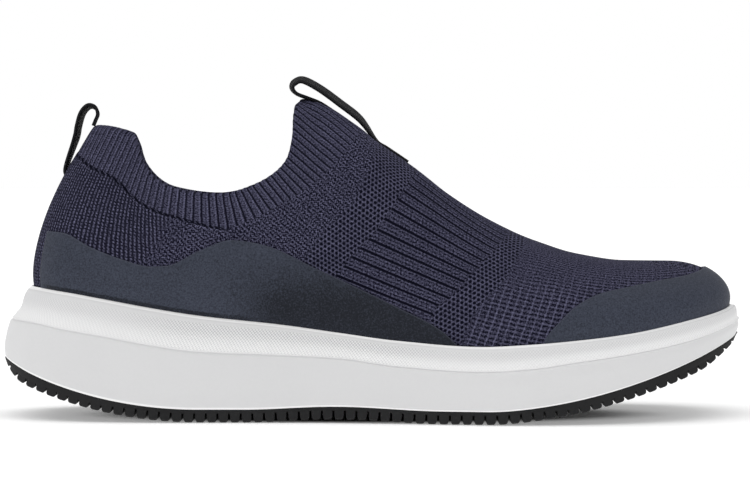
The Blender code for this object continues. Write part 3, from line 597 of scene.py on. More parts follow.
class Rays:
    # the columns of the upper from the foam's rim to the collar's edge or the ridge
    def __init__(self, columns, flank):
        self.columns, self.turns = columns, columnTurn(columns)
        place = outline(self.turns, flank, True)
        self.foot = np.concatenate([place, foamHeight("rim", place[:, 0])[:, None]], -1)
        self.out = np.concatenate([outward(self.turns, flank), np.zeros((len(columns), 1))], -1)
        rear = columns <= shoe["throat"]
        along = read(fan, "along", columns)
        high = np.where(columns < upperShape["lowColumn"], upperShape["backHeight"], upperShape["tongueHeight"])
        rimTop = np.stack([
            shoe["length"] * read(collar, "along", columns),
            flank * read(collar, "out", columns) * upperShape["collarWidth"] / 2,
            upperShape["lowHeight"] + read(collar, "up", columns) * (high - upperShape["lowHeight"]),
        ], -1)
        if flank > 0:
            setBack = ease((columns - 1.5) / 3) * (1 - ease((columns - 7) / 5))
            rimTop[:, 0] -= upperShape["innerSetBack"] * setBack
        self.top = np.where(rear[:, None], rimTop, ridgePoint(along))
        share = ease(columns / shoe["throat"])
        self.roll = np.where(rear, np.radians(read(collar, "roll", columns)), math.pi / 2)
        self.full = np.where(rear, 2 + (ridge["full"][0] - 2) * share, read(ridge, "full", along))
        self.lead = np.where(rear, 0.8 + 0.2 * share, 1.0)
        self.seam = read(seam, "share", columns)
        self.puff = read(seam, "puff", columns)

    def points(self, shares, padded=True):
        # shares has one row for each column
        roll, full = self.roll[:, None], self.full[:, None]
        angle, power = roll * shares, 2 / full
        height = (np.sin(angle) / np.sin(roll)) ** power
        inward = 1 - np.maximum(np.cos(angle), 0) ** power
        inward = (inward / (1 - np.maximum(np.cos(roll), 0) ** power)) ** self.lead[:, None]
        mixed = np.stack([inward, inward, height], -1)
        points = self.foot[:, None] + (self.top - self.foot)[:, None] * mixed
        swell = upperShape["swell"] * shares * (1 - shares) ** 3 / (0.25 * 0.75 ** 3)  # fullest at a quarter
        if padded:
            reach = shares / self.seam[:, None]
            crown = ease((reach - 0.2) / 0.5) * (1 - 0.5 * ease((reach - 0.88) / 0.12))
            step = 1 - ease((reach - 0.995) / 0.012)
            swell = swell + upperShape["puff"] * self.puff[:, None] * crown * step
        return points + self.out[:, None] * swell[..., None]


# Soft creases seen from the side: from and to in millimetres, height (negative for a trough), width
creases = [
    (84, 79, 99, 71, -0.55, 2.0), (86, 73, 104, 76.5, 0.45, 2.2), (99, 83, 106, 72, -0.40, 2.6),
    (36, 97, 48, 87, -0.35, 2.4), (40, 90, 56, 78, 0.35, 3.5), (58, 74, 76, 66, -0.35, 3.0),
    (110, 70, 132, 61, -0.35, 3.5), (118, 78, 134, 90, 0.30, 4.0), (150, 112, 158, 100, -0.35, 3.0),
    (206, 66, 214, 46, -0.35, 4.0), (217, 64, 226, 44, 0.30, 4.5), (228, 62, 237, 45, -0.30, 4.0),
]


def creased(points, normals):
    # the surface with its soft creases, along its own normals
    x, z = points[..., 0] * 1000, points[..., 2] * 1000
    amount = np.zeros_like(x)
    for x0, z0, x1, z1, height, width in creases:
        run = np.array([x1 - x0, z1 - z0])
        share = np.clip(((x - x0) * run[0] + (z - z0) * run[1]) / (run @ run), 0, 1)
        apart = np.hypot(x - x0 - run[0] * share, z - z0 - run[1] * share)
        amount += height * np.exp(-(apart / width) ** 2)
    return points + normals * (amount / 1000)[..., None]


def gridNormals(points, flank):
    along = np.gradient(points, axis=0)
    up = np.gradient(points, axis=1)
    normals = np.cross(along, up) * -flank
    size = np.linalg.norm(normals, axis=-1, keepdims=True)
    return normals / np.maximum(size, 1e-12)


# Knit

knit = {
    "perColumn": 9,
    "levels": 100,
    "innerLevels": 16,
    "turnedRows": 4,  # rows of the inner face that are still knit
    "base": (0.033, 0.032, 0.050),
    "dark": (0.0028, 0.0028, 0.0095),
    "light": (0.165, 0.163, 0.262),
    "heelRibEnds": (64.0, 84.0),  # from the heel: where the ribs' second channel fades
    "panelEnds": (20.0, 34.0),
    "seamEnds": (88.0, 96.0),
    "gridTop": (47.0, 60.0),  # height over which the grid's lines fade
    "collarStitch": 0.95,
    "panelStitch": 1.3,
    "twillPitch": 1.5,
    "twillStitch": 1.3,
    "tickPitch": (1.0, 1.75),
    "dotPitch": 2.1,
    "panelPitch": 1.8,
    "groovePitch": 4.7,
    "holePitch": 1.76,  # along a row, with the rows' own pitches and the holes' size below
    "holeRow": 1.55,
    "holeRowFore": 2.05,
    "holeSize": (0.60, 0.54),
    "gridPitch": 3.25,
    "dashPitch": 1.8,
    "slant": 27.0,  # degrees that the forefoot's knit runs down towards the toe
    "ribDepth": 0.00032,  # the ribs' and grooves' own depth in the mesh
    "grooveDepth": 0.00040,
}

# Borders of the knit's zones seen from the side, in millimetres from the heel and over the floor
zoneBorders = {
    "collarFront": [(60, 63), (94.6, 77), (105.3, 81.3), (114, 86.3), (122.7, 91.2), (133, 99.5), (136.6, 103.9),
                    (143.7, 112.8), (150, 121)],
    "meshStart": [(114, 50), (128.6, 73.8), (133.4, 78.2), (141.7, 86.5), (148.8, 101.9), (153, 113)],
    "grooveStart": [(118, 38), (136.4, 59.3), (143, 67), (149.6, 73.6), (157.8, 85.3), (164.1, 94.7), (172, 107)],
    "grooveEnd": [(168, 34), (174.1, 43.7), (175.9, 46.5), (181.5, 50.9), (188.4, 58.6), (195.1, 65.1), (202.2, 71.8),
                  (214, 83)],
    "gridStart": [(183, 24), (186.5, 35.5), (188, 39.8), (192.5, 47), (197.7, 52.5), (202.5, 57.3), (208, 65.8),
                  (217, 80)],
}
# Courses of the knit, each from one point to another: the collar's ribs and the forefoot's grooves
collarRibs = [
    ((36, 117), (30, 104)), ((42, 116.6), (36.5, 104.5)), ((48, 115.8), (41.5, 100.5)), ((53.5, 113.5), (46.5, 96.5)),
    ((56.5, 109.5), (50.5, 93.8)), ((58.6, 102), (55, 90)), ((62, 97.5), (59.5, 87)), ((69, 93), (67.5, 82)),
    ((80, 90), (80, 77.3)), ((90, 89.4), (92, 76)), ((98, 91), (103, 81)), ((105, 94.5), (112.5, 85)),
    ((111, 98.6), (119.5, 88.2)), ((115.5, 103.8), (127.5, 92.5)), ((117.5, 110), (133, 96)),
    ((119, 118), (138.5, 100.5)), ((121, 128.4), (144.5, 107)),
]
# Ribs counted from the heel, by the distance across them in millimetres
collarCount = {"across": [-60, 24, 36, 78, 90, 200], "ribs": [-24.5, 9.8, 14, 27, 31, 70.8]}
# How far the heel panel's columns lean forward at the top, by the distance from the heel in millimetres
panelLean = {"along": [28, 48, 64, 80], "lean": [0, 0.10, 0.19, 0.22]}
foreGrooves = [
    ((168.5, 101), (207, 77.5)), ((164.1, 94.7), (202.2, 71.8)), ((157.8, 85.3), (195.1, 64.6)),
    ((150.6, 75.4), (188.4, 57.6)), ((143.5, 67), (181.5, 50.4)), ((136.4, 59.3), (174.1, 43.7)),
    ((128, 50), (166, 35.5)),
]


def pastBorder(name, x, z):
    # millimetres ahead of a border, across it
    border = np.array(zoneBorders[name], float)
    lean = np.arctan2(border[-1, 0] - border[0, 0], border[-1, 1] - border[0, 1])
    return (x - np.interp(z, border[:, 1], border[:, 0])) * math.cos(lean)


def courseNumber(lines, x, z):
    # distance across a fan of lines, in millimetres
    lines = np.array(lines, float).reshape(len(lines), 4)
    index = np.arange(len(lines))
    fine = np.linspace(0, len(lines) - 1, 4 * len(lines))
    lines = np.stack([smooth(index, lines[:, k], fine) for k in range(4)], -1)
    middles = (lines[:, :2] + lines[:, 2:]) / 2
    numbers = runningSum(stepLengths(middles))
    run = lines[:, 2:] - lines[:, :2]
    run /= np.linalg.norm(run, axis=1, keepdims=True)
    across = np.stack([-run[:, 1], run[:, 0]], -1)
    across *= np.sign(np.sum(across * (middles[-1] - middles[0]), 1))[:, None]
    place = np.stack([x.ravel(), z.ravel()], -1)
    apart = place @ across.T - np.sum(across * lines[:, :2], 1)
    last = np.clip((apart >= 0).cumprod(axis=1).sum(axis=1) - 1, 0, len(lines) - 2)
    rows = np.arange(len(place))
    here, there = apart[rows, last], apart[rows, last + 1]
    share = here / np.where(np.abs(here - there) < 1e-9, 1e-9, here - there)
    number = numbers[last] + (numbers[last + 1] - numbers[last]) * np.clip(share, 0, 1)
    number += np.where(share > 1, there, 0) + np.where(share < 0, here, 0)
    return number.reshape(x.shape)


# Millimetres over the collar's seam, from the heel, past each border and along or across the courses
knitMarkNames = (
    "collar", "fromHeel", "mesh", "groove", "mesh2", "grid", "ribNumber", "below", "panelNumber", "courseAcross",
    "courseAlong", "girth", "alongShoe", "heightShoe", "levelHeight",
)


def knitMarks(rays, shares, points):
    # numbers that say where the knit's zones and courses lie
    mm = points * 1000
    x, y, z = mm[..., 0], mm[..., 1], mm[..., 2]
    girth = runningSum(stepLengths(mm, 1), 1)
    total = girth[:, -1:]
    # height unrolled over the instep: the surface's own length, true at mid height
    climb = runningSum(np.hypot(np.diff(y, axis=1), np.diff(z, axis=1)), 1)
    middle = int(0.35 * x.shape[1])
    zu = climb - climb[:, middle:middle + 1] + z[:, middle:middle + 1]
    # distance from the heel unrolled round its back
    run = runningSum(np.hypot(np.diff(x, axis=0), np.diff(y, axis=0)))
    joint = 5 * knit["perColumn"]
    xu = np.where(rays.columns[:, None] < 5, run - run[joint] + x[joint], x)
    heelDistance = (shares - rays.seam[:, None]) * total
    collarDistance = np.minimum(
        heelDistance + np.maximum(0, x - 92) * 1.5,
        (z - np.interp(x, *np.array(zoneBorders["collarFront"], float).T)) * 0.8,
    )
    slant = math.radians(knit["slant"])
    lean = np.interp(x, panelLean["along"], panelLean["lean"]) * (z - z[:, middle:middle + 1])
    marks = [
        collarDistance, x, pastBorder("meshStart", x, z), pastBorder("grooveStart", x, z),
        pastBorder("grooveEnd", x, z), pastBorder("gridStart", x, z),
        np.interp(courseNumber(collarRibs, xu, zu), collarCount["across"], collarCount["ribs"]), total - girth,
        run[:, middle:middle + 1] + lean, courseNumber(foreGrooves, xu, zu),
        xu * math.cos(slant) - zu * math.sin(slant), girth, xu, zu, z,
    ]
    return dict(zip(knitMarkNames, marks))


def knitDepth(marks):
    # how far the collar's channels and the long grooves lie under the knit's surface
    rib = (np.cos(2 * math.pi * marks["ribNumber"]) * 0.5 + 0.5) ** 2 * ease(marks["collar"] / 0.8)
    groove = (np.cos(2 * math.pi * marks["courseAcross"] / knit["groovePitch"]) * 0.5 + 0.5) ** 3
    groove = groove * ease(marks["groove"] / 1.5) * ease(-marks["mesh2"] / 1.5)
    return rib * knit["ribDepth"] + groove * knit["grooveDepth"]


def knitFinish():
    finish = Finish("knit", knit["base"], 0.95, {"Specular IOR Level": 0.06})
    (overSeam, fromHeel, mesh, groove, mesh2, grid, ribNumber, below, panelNumber, courseAcross, courseAlong, girth,
     along, height, level) = finish.read(*knitMarkNames)
    where = finish.join(along, height)
    blotch = finish.noise(0.09, 2.0, where)
    fleck = rise(finish.noise(1.5, 1.0, where, 0.6), 0.28, 0.72) - 0.5
    wander = (finish.noise(0.35, 1.0, where) - 0.5) * 0.6

    # zones: 1 inside
    inCollar = rise(overSeam, -0.25, 0.25)
    inMesh = rise(mesh, -0.6, 1.2)
    inGroove = rise(groove + wander * 2.0, -0.3, 0.3) * (1 - rise(mesh2 + wander * 2.0, -0.3, 0.3))
    inGrid = rise(grid, -1.2, 1.2)
    inHoles = inMesh * (1 - inGroove) * (1 - inGrid)
    inPanel = (1 - inCollar) * (1 - rise(along + height * -0.55, *knit["panelEnds"]))

    # collar ribs: a dark channel and a light thread beside each, a fainter channel half way, fine stitches
    atHeel = 1 - rise(fromHeel, *knit["heelRibEnds"])
    channel = (ribNumber + wander * 0.05).part() - 0.5
    valley = rise(channel.size(), 0.33, 0.46) * blend(atHeel, 0.95, 0.75)
    second = (1 - rise(channel.size(), 0.03, 0.12)) * blend(atHeel, 0.22, 0.36)
    thread = rise(channel, 0.12, 0.22) * (1 - rise(channel, 0.26, 0.36))
    stitch = wave(below + channel.size() * 1.6 + wander, knit["collarStitch"])
    collarTone = (1 - valley) * (1 - second) * (0.18 + stitch * 0.20 + fleck * 0.46) + thread * 0.20
    collarHeight = valley * -0.45 - second * 0.20 + stitch * 0.05

    # heel panel: columns of stacked short stitches
    bar = wave(panelNumber + wander * 1.1, knit["panelPitch"])
    tilt = ((panelNumber / knit["panelPitch"] + 0.5).part() - 0.5) * 0.7
    stack = wave(girth + tilt + wander * 2.2, knit["panelStitch"])
    panelTone = bar ** 1.3 * (0.10 + stack * 0.52 + fleck * 0.80) + 0.03
    panelHeight = bar * (0.30 + stack * 0.20)

    # fine twill: diagonal courses of small staggered stitches
    course = (along * 0.66 + height * 0.75 + wander) / knit["twillPitch"]
    twillA = wave(course, 1.0)
    twillB = wave(along * 0.75 - height * 0.66 + course.whole() * 0.65 + wander, knit["twillStitch"])
    twillTone = twillA * (0.07 + twillB * 0.48) + fleck * 0.78 + 0.03
    twillHeight = twillA * 0.18 + twillB * 0.10

    # pierced mesh: staggered rows of holes
    row = courseAcross - (groove - groove.size()) * 0.075
    row = row / blend(rise(mesh2, -16.0, -12.0), knit["holeRow"], knit["holeRowFore"])
    column = (courseAlong / knit["holePitch"] + (row.whole() * 0.5).part() + wander * 0.12).part() - 0.5
    column = column * (knit["holePitch"] / knit["holeSize"][0])
    down = (row.part() - 0.5) * (knit["holeRow"] / knit["holeSize"][1])
    hole = 1 - rise((column * column + down * down) ** 0.5, 0.72, 1.25)
    meshTone = (1 - hole) * (0.35 + fleck * 0.50)
    meshHeight = hole * -0.60

    # long grooves, three fine lines of stitches between them
    lane = (courseAcross / knit["groovePitch"] + wander * 0.04).part() - 0.5
    valley = rise(lane.size(), 0.36, 0.45)
    cross = wave(lane + wander * 0.06, 1.0 / 3.0)
    tick = wave(courseAlong + lane * 1.5 + wander * 0.8, knit["tickPitch"][0]) * 0.5
    tick = tick + wave(courseAlong - lane * 2.0, knit["tickPitch"][1]) * 0.5
    laneTone = (1 - valley) * (0.09 + cross * (0.11 + tick * 0.28) + fleck * 0.46)
    laneHeight = valley * -0.75 + tick * 0.08 + cross * 0.14

    # toe grid: light leaning lines over rows of dark dashes, fading on the top
    top = rise(level, *knit["gridTop"])
    lean = (level * -0.37 + along + wander * 0.5) / knit["gridPitch"]
    line = (wave(lean, 1.0) ** 9.0 + wave(lean, 0.5) ** 6.0 * 0.22) * (1 - top * 0.85)
    dash = wave(girth * 0.96 + along * 0.28 + wander * 0.9, knit["dashPitch"])
    gridTone = line * 0.30 + dash ** 1.4 * (0.32 - top * 0.12) + fleck * (0.44 + top * 0.06) + top * 0.09 + 0.02
    gridHeight = line * 0.12 + dash * (0.24 - top * 0.10)

    tone = blend(inPanel, twillTone, panelTone)
    relief = blend(inPanel, twillHeight, panelHeight)
    for share, zoneTone, zoneHeight in (
        (inHoles, meshTone, meshHeight), (inGroove, laneTone, laneHeight), (inGrid, gridTone, gridHeight),
        (inCollar, collarTone, collarHeight),
    ):
        tone = blend(share, tone, zoneTone)
        relief = blend(share, relief, zoneHeight)

    # the dotted seam under the collar at the heel
    near = 1 - rise(overSeam.size(), 0.30, 0.85)
    seamHere = near * (1 - rise(fromHeel, *knit["seamEnds"]))
    dots = rise(wave(along + height * 0.6, knit["dotPitch"]), 0.25, 0.6)
    tone = tone * (1 - seamHere * (0.15 + dots * 0.85))
    relief = relief - seamHere * (0.10 + dots * 0.45)
    # painted highlight: a strip just under the seam, on the padded panel's top edge, is painted lighter in random
    # patches
    under = rise(overSeam, -1.7, -1.1) * (1 - rise(overSeam, -0.9, -0.4))
    under = under * (1 - rise(fromHeel, 92.0, 99.0)) * rise(blotch, 0.42, 0.62)
    tone = tone + under * (0.12 + fleck * 0.5)

    tone = tone * (0.86 + blotch * 0.42)
    finish.tint(tone, knit["dark"], knit["light"])
    finish.bump(relief, 0.9)
    return finish


lining = {"base": (0.020, 0.020, 0.028), "dark": (0.012, 0.012, 0.018), "light": (0.036, 0.036, 0.050)}


def liningFinish():
    finish = Finish("lining", lining["base"], 0.92, {"Sheen Weight": 0.1})
    along, height = finish.read("alongShoe", "heightShoe")
    weave = wave(along + height, 1.3) * wave(along - height, 1.3)
    finish.tint(weave * 0.7 + finish.noise(40.0, 2.0) * 0.3, lining["dark"], lining["light"])
    finish.bump(weave * 0.2)
    return finish


def makeKnit():
    columns = np.arange(0, shoe["columns"] * knit["perColumn"] + 1) / knit["perColumn"]
    levels = np.linspace(0, 1, knit["levels"] + 1)
    innerShares = 1 - np.linspace(0, 1, knit["innerLevels"]) ** 1.3
    sheets = Sheets()
    for flank in (-1, 1):
        rays = Rays(columns, flank)
        shares = np.tile(levels, (len(columns), 1))
        surface = rays.points(shares)
        marks = knitMarks(rays, shares, surface)
        normals = gridNormals(surface, flank)
        surface = creased(surface, normals) - normals * knitDepth(marks)[..., None]
        # the lower edge tucked in on the footbed
        tuck = outline(rays.turns, flank, True) - outward(rays.turns, flank) * upperShape["footTuck"]
        hem = np.concatenate([tuck, (cupFloor(tuck[:, 0]) + shoe["fit"])[:, None]], -1)
        # soft round over the collar's edge, then the inner face down to the footbed
        plain = rays.points(np.tile(innerShares, (len(columns), 1)), padded=False)
        inward = gridNormals(plain[:, ::-1], flank)[:, ::-1]
        thick = ease((innerShares[None, :] - 0.55) / 0.35) * (1 - ease((columns[:, None] - shoe["throat"]) / 4))
        wall = upperShape["wall"] + (upperShape["collarWall"] - upperShape["wall"]) * thick
        inside = plain - inward * wall[..., None]
        innerHem = hem - inward[:, -1] * upperShape["wall"]
        away = surface[:, -1] - surface[:, -4]
        away /= np.linalg.norm(away, axis=1, keepdims=True)
        taller = (1 - ease((columns - 4) / 4)) + 0.7 * ease((columns - 14.5) / 2)
        rounding = (upperShape["rimRound"] * (1 + 0.8 * taller))[:, None]
        crest = []
        for share in (0.12, 0.3, 0.5, 0.7, 0.88):
            place = surface[:, -1] + (inside[:, 0] - surface[:, -1]) * share
            crest.append(place + away * rounding * math.sin(math.pi * share) ** 0.7)
        whole = np.concatenate([hem[:, None], surface, np.stack(crest, 1), inside, innerHem[:, None]], 1)
        for key, numbers in marks.items():
            inner = np.stack([np.interp(innerShares[::-1], levels, row)[::-1] for row in numbers])
            rim = [numbers[:, -1:]] * len(crest)
            marks[key] = np.concatenate([numbers[:, :1], numbers] + rim + [inner, inner[:, -1:]], 1)
        sheets.add(flank, whole, marks)
    throat = shoe["throat"] * knit["perColumn"]
    outerTop = 1 + knit["levels"]
    innerTop = outerTop + len(crest) + 1
    turned = innerTop + knit["turnedRows"]
    outer, inner = sheets.grids[-1], sheets.grids[1]
    inner[[0, -1]] = outer[[0, -1]]
    for level in (outerTop, innerTop):
        inner[throat:, level] = outer[throat:, level]
    faces, kinds = [], []
    for flank, grid in sheets.grids.items():
        for patch, kind in (
            (grid[:, :outerTop + 1], 0), (grid[:throat + 1, outerTop:turned + 1], 0),
            (grid[:throat + 1, turned:], 1), (grid[throat:, innerTop:], 1), (grid[:, [-1, 0]], 1),
        ):
            made = gridFaces(patch, flip=flank > 0)
            faces += made
            kinds += [kind] * len(made)
    finishes = [knitFinish(), liningFinish()]
    addPiece("knitUpper", sheets.points, faces, finishes, "upper", sheets.marks, 70, kinds)


# Films

film = {
    "thickness": 0.0007,
    "lift": 0.0007,
    "backColumn": 1.72,
    "levels": 40,
    "least": 0.004,  # columns where the film is shorter than this share are left out
    "rounded": 0.7,  # millimetres from the edge over which it thins
    "base": (0.053, 0.061, 0.088),
    "dark": (0.010, 0.012, 0.018),
    "edge": (0.085, 0.092, 0.125),
}
# Upper edges seen from the side: shares of the length, and of the tongue's height over the floor
quarterEdge = {
    "along": [-.05, .085, .128, .167, .207, .227, .272, .314, .351, .43, .536, .588, .603, .614, .622],
    "up": [.59, .581, .535, .501, .478, .48, .527, .559, .547, .467, .351, .288, .258, .23, .2],
}
toeEdge = {
    "along": [.712, .724, .743, .763, .783, .8, .825, .883, .92, .938, .951, .962, .98],
    "up": [.2, .262, .314, .356, .384, .397, .408, .430, .442, .452, .463, .485, .56],
}


def filmFinish():
    finish = Finish("bondedFilm", film["base"], 0.6, {"Specular IOR Level": 0.16})
    along, height, inset, lifted = finish.read("alongShoe", "heightShoe", "inset", "lifted")
    cloud = finish.noise(0.05, 3.0, finish.join(along, height))
    grain = finish.noise(1500.0, 2.0, None, 0.7)
    # painted shade: the film is painted darker low on the waist, where it faces down, and in a thin strip along its
    # foot where it meets the foam
    waist = rise(along, 88.0, 118.0) * (1 - rise(along, 192.0, 214.0)) * (1 - rise(height, 44.0, 70.0))
    gap = (1 - rise(lifted, 1.2, 2.0)) * rise(along, 17.0, 22.0) * (1 - rise(along, 85.0, 110.0))
    tone = waist * 0.60 + gap * 0.6 + (cloud - 0.5) * 0.30 + (grain - 0.5) * 1.9 + 0.34
    shade = finish.mix(tone, film["base"], film["dark"])
    finish.tint((1 - rise(inset, 0.15, 0.50)) * 0.5, shade, film["edge"])
    finish.set("Roughness", blend(grain, 0.55, 0.7))
    finish.bump(grain * 0.05 + cloud * 0.20 + gap * -0.25)
    return finish


def edgeShare(rays, edge, forward):
    # the share of each column at which it crosses the film's edge
    fine = np.linspace(0, 1, 401)
    points = rays.points(np.tile(fine, (len(rays.columns), 1)))
    along = points[..., 0] / shoe["length"]
    over = points[..., 2] - read(edge, "up", along) * upperShape["tongueHeight"]
    if forward:
        over = np.where(along < edge["along"][0], 1.0, np.where(along > edge["along"][-1], -1.0, over))
    else:
        over = np.where(along > edge["along"][-1], 1.0, over)
    found = np.ones(len(rays.columns))
    for i, row in enumerate(over):
        crossed = np.flatnonzero(row > 0)
        if len(crossed):
            k = crossed[0]
            found[i] = fine[k - 1] + (fine[k] - fine[k - 1]) * row[k - 1] / (row[k - 1] - row[k]) if k else 0.0
    return found


def liftedShare(rays):
    # the share of each column at which it is clear of the foam's rim
    rising = film["lift"] / (rays.top[:, 2] - rays.foot[:, 2])
    return np.arcsin(np.clip(rising ** (rays.full / 2) * np.sin(rays.roll), 0, 1)) / rays.roll


def makeFilm(name, node, columns, flanks, edge, forward, finish):
    sheets = Sheets()
    for flank in flanks:
        rays = Rays(columns, flank)
        low, high = liftedShare(rays), edgeShare(rays, edge, forward)
        keep = high > low + film["least"]
        rays, low, high = Rays(columns[keep], flank), low[keep], high[keep]
        run = 1 - (1 - np.linspace(0, 1, film["levels"] + 1)) ** 1.15
        surface = rays.points(low[:, None] + (high - low)[:, None] * run[None, :])
        normals = gridNormals(surface, flank)
        surface = creased(surface, normals)
        climbed = runningSum(stepLengths(surface, 1) * 1000, 1)
        inset = climbed[:, -1:] - climbed
        if not forward:
            inset = np.minimum(inset, np.linalg.norm(surface - surface[:1], axis=-1) * 1000)
        # the skin thins to a fine rounded edge, and one row of points closes it on the knit
        thin = film["thickness"] * (1 - (1 - np.clip(inset / film["rounded"], 0, 1)) ** 2) ** 0.5
        closing = ((1, 0 if forward else 1), (1, 1))
        sheet = np.pad(surface + normals * shoe["fit"] * 0.4, closing + ((0, 0),), "edge")
        sheet[1:1 + len(surface), 1:-1] = surface + normals * (shoe["fit"] + np.maximum(thin, 0.00002))[..., None]
        marks = {
            "alongShoe": surface[..., 0] * 1000, "heightShoe": surface[..., 2] * 1000, "inset": inset,
            "lifted": climbed,
        }
        sheets.add(flank, sheet, {key: np.pad(numbers, closing, "edge") for key, numbers in marks.items()})
    if len(flanks) == 2:
        sheets.grids[1][-1] = sheets.grids[-1][-1]
    faces = [face for flank, grid in sheets.grids.items() for face in gridFaces(grid, flip=flank > 0)]
    addPiece(name, sheets.points, faces, [finish], node, sheets.marks, 70)


def makeFilms():
    finish = filmFinish()
    fine = np.arange(0, shoe["columns"] * 8 + 1) / 8
    rear = np.concatenate([[film["backColumn"]], fine[(fine > film["backColumn"] + 0.05) & (fine <= 28)]])
    makeFilm("filmOuterSide", "film_lateral", rear, (-1,), quarterEdge, False, finish)
    makeFilm("filmInnerSide", "film_medial", rear, (1,), quarterEdge, False, finish)
    makeFilm("filmToe", "film_toe", fine[fine >= 24], (-1, 1), toeEdge, True, finish)


# Footbed

footbed = {
    "thickness": 0.0045, "round": 0.0011, "gap": 0.0005, "fill": 0.9,
    "base": (0.022, 0.022, 0.030), "dark": (0.013, 0.013, 0.018), "light": (0.040, 0.040, 0.052),
}


def makeFootbed():
    finish = Finish("footbedCloth", footbed["base"], 0.95, {"Sheen Weight": 0.15})
    along, across = finish.read("alongShoe", "acrossShoe")
    weave = wave(along, 1.6) * 0.5 + wave(across + along * 0.5, 1.6) * 0.5
    finish.tint(weave * 0.6 + finish.noise(30.0, 3.0) * 0.4, footbed["dark"], footbed["light"])
    finish.bump(weave * 0.25)
    turns = np.linspace(0, math.pi, 181)

    def bed(t, s, height, inset):
        gap = upperShape["footTuck"] + upperShape["wall"] + footbed["gap"] + inset
        place = outline(t, s, True) - outward(t, s) * gap
        return np.concatenate([place, (cupFloor(place[:, 0]) + shoe["fit"] + height)[:, None]], -1)

    top, soft = footbed["thickness"], footbed["round"]
    rows = [(0.0, 0.0), (top - soft, 0.0), (top - soft * 0.4, soft * 0.2), (top - soft * 0.1, soft * 0.6), (top, soft)]
    rings = [ringPoints(turns, lambda t, s: bed(t, s, *row)) for row in rows]
    outer, back = halves(rings[-1])
    strips = [outer + (back - outer) * share for share in np.linspace(0, 1, 17)[1:-1]]
    points = np.concatenate(rings + strips)
    grid = np.arange(len(rings) * len(rings[0])).reshape(len(rings), -1)
    strips = grid.size + np.arange(len(points) - grid.size).reshape(len(strips), -1)
    first, last = halves(grid[-1])
    faces = gridFaces(grid.T, closed=True) + gridFaces(np.concatenate([first[None], strips, last[None]]))
    marks = {"alongShoe": points[:, 0] * 1000, "acrossShoe": points[:, 1] * 1000}
    piece = addPiece("footbedCloth", points, faces + lid(grid[0]), [finish], "insole", marks, 60)


# Webbing loops

webbing = {
    "thickness": 0.0014, "heelWidth": 0.013, "tongueWidth": 0.015, "heelRise": 0.0085, "heelDrop": 0.020,
    "tongueRise": 0.0080, "lift": -0.0003, "steps": 14,
    "base": (0.003, 0.003, 0.0035), "light": (0.017, 0.017, 0.020),
    # degrees that the free limbs turn about their length
    "heelRoll": {"place": (0, .08, .2, .45, .7, 1), "turn": (6.5, 3, -2.6, -3, -4.8, -4.8)}, "tongueRoll": -9.0,
    "roundedFrom": 0.93,  # share of the half width
    "heel": [(-1.03, -.67), (-.91, -.09), (-.76, .45), (-.57, .75), (-.34, .89), (-.08, .79), (.02, .50), (-.08, .22)],
    "heelSewn": (1.0, 0.8),
    "sunk": 0.0020,  # the sewn end's depth in the knit
    "tongue": [(2.98, -1.02), (1.95, -.20), (.94, .53), (.10, .96), (-.33, .86), (-.48, .58), (-.25, .27)],
    "tongueEnds": (0.546, 0.503),
    "tongueUnder": (0.412, 0.484),
    "underDrop": (0.0, 0.0001, 0.0003, 0.0006, 0.0012, 0.0020),  # the lower limb sinks into the knit
}


def webbingFinish():
    finish = Finish("webbing", webbing["base"], 0.85, {"Specular IOR Level": 0.12})
    run, across = finish.read("run", "across")
    rib = wave(run + (across * 1.1).size(), 0.9)
    strand = wave(across, 0.8)
    tone = rib * 0.6 + strand * 0.25
    finish.tint(tone, webbing["base"], webbing["light"])
    finish.set("Roughness", blend(tone.clamp(), 0.85, 0.65))
    finish.bump(rib * 0.18 + strand * 0.10)
    return finish


def smoothPath(knots):
    knots = [np.array(knot, float) for knot in knots]
    padded = [2 * knots[0] - knots[1]] + knots + [2 * knots[-1] - knots[-2]]
    path = []
    for i in range(1, len(padded) - 2):
        a, b, c, d = padded[i - 1:i + 3]
        for k in range(webbing["steps"]):
            t = k / webbing["steps"]
            path.append(0.5 * (2 * b + (c - a) * t + (2 * a - 5 * b + 4 * c - d) * t * t
                               + (3 * b - a - 3 * c + d) * t ** 3))
    return np.array(path + [knots[-1]])


def makeRibbon(name, node, path, width, shift, rolls, finish):
    # flat webbing with rounded edges along a path of x and z
    ahead = np.gradient(path, axis=0)
    ahead /= np.linalg.norm(ahead, axis=1, keepdims=True)
    normal = np.stack([-ahead[:, 1], ahead[:, 0]], -1)
    half, thick = width / 2, webbing["thickness"] / 2
    section = []
    for share in np.linspace(-1, 1, 15):
        full = (1 - max(0, (abs(share) - webbing["roundedFrom"]) / (1 - webbing["roundedFrom"])) ** 2) ** 0.5
        section.append((share, max(full, 0.35)))
    section += [(share, -full) for share, full in section[::-1]]
    points = []
    for i in range(len(path)):
        lean = math.radians(rolls[i])
        for share, reach in section:
            over = thick * reach * math.cos(lean) + share * half * math.sin(lean)
            px, pz = path[i] + normal[i] * over
            points.append((px, shift[i] + share * half * math.cos(lean) - thick * reach * math.sin(lean), pz))
    length = runningSum(stepLengths(path)) * 1000
    grid = np.arange(len(points)).reshape(len(path), -1)
    faces = gridFaces(grid.T, closed=True) + [grid[0][::-1].tolist(), grid[-1].tolist()]
    marks = {
        "run": np.repeat(length, len(section)),
        "across": np.tile([share * half * 1000 for share, reach in section], len(path)),
    }
    addPiece(name, points, faces, [finish], node, marks, 50)


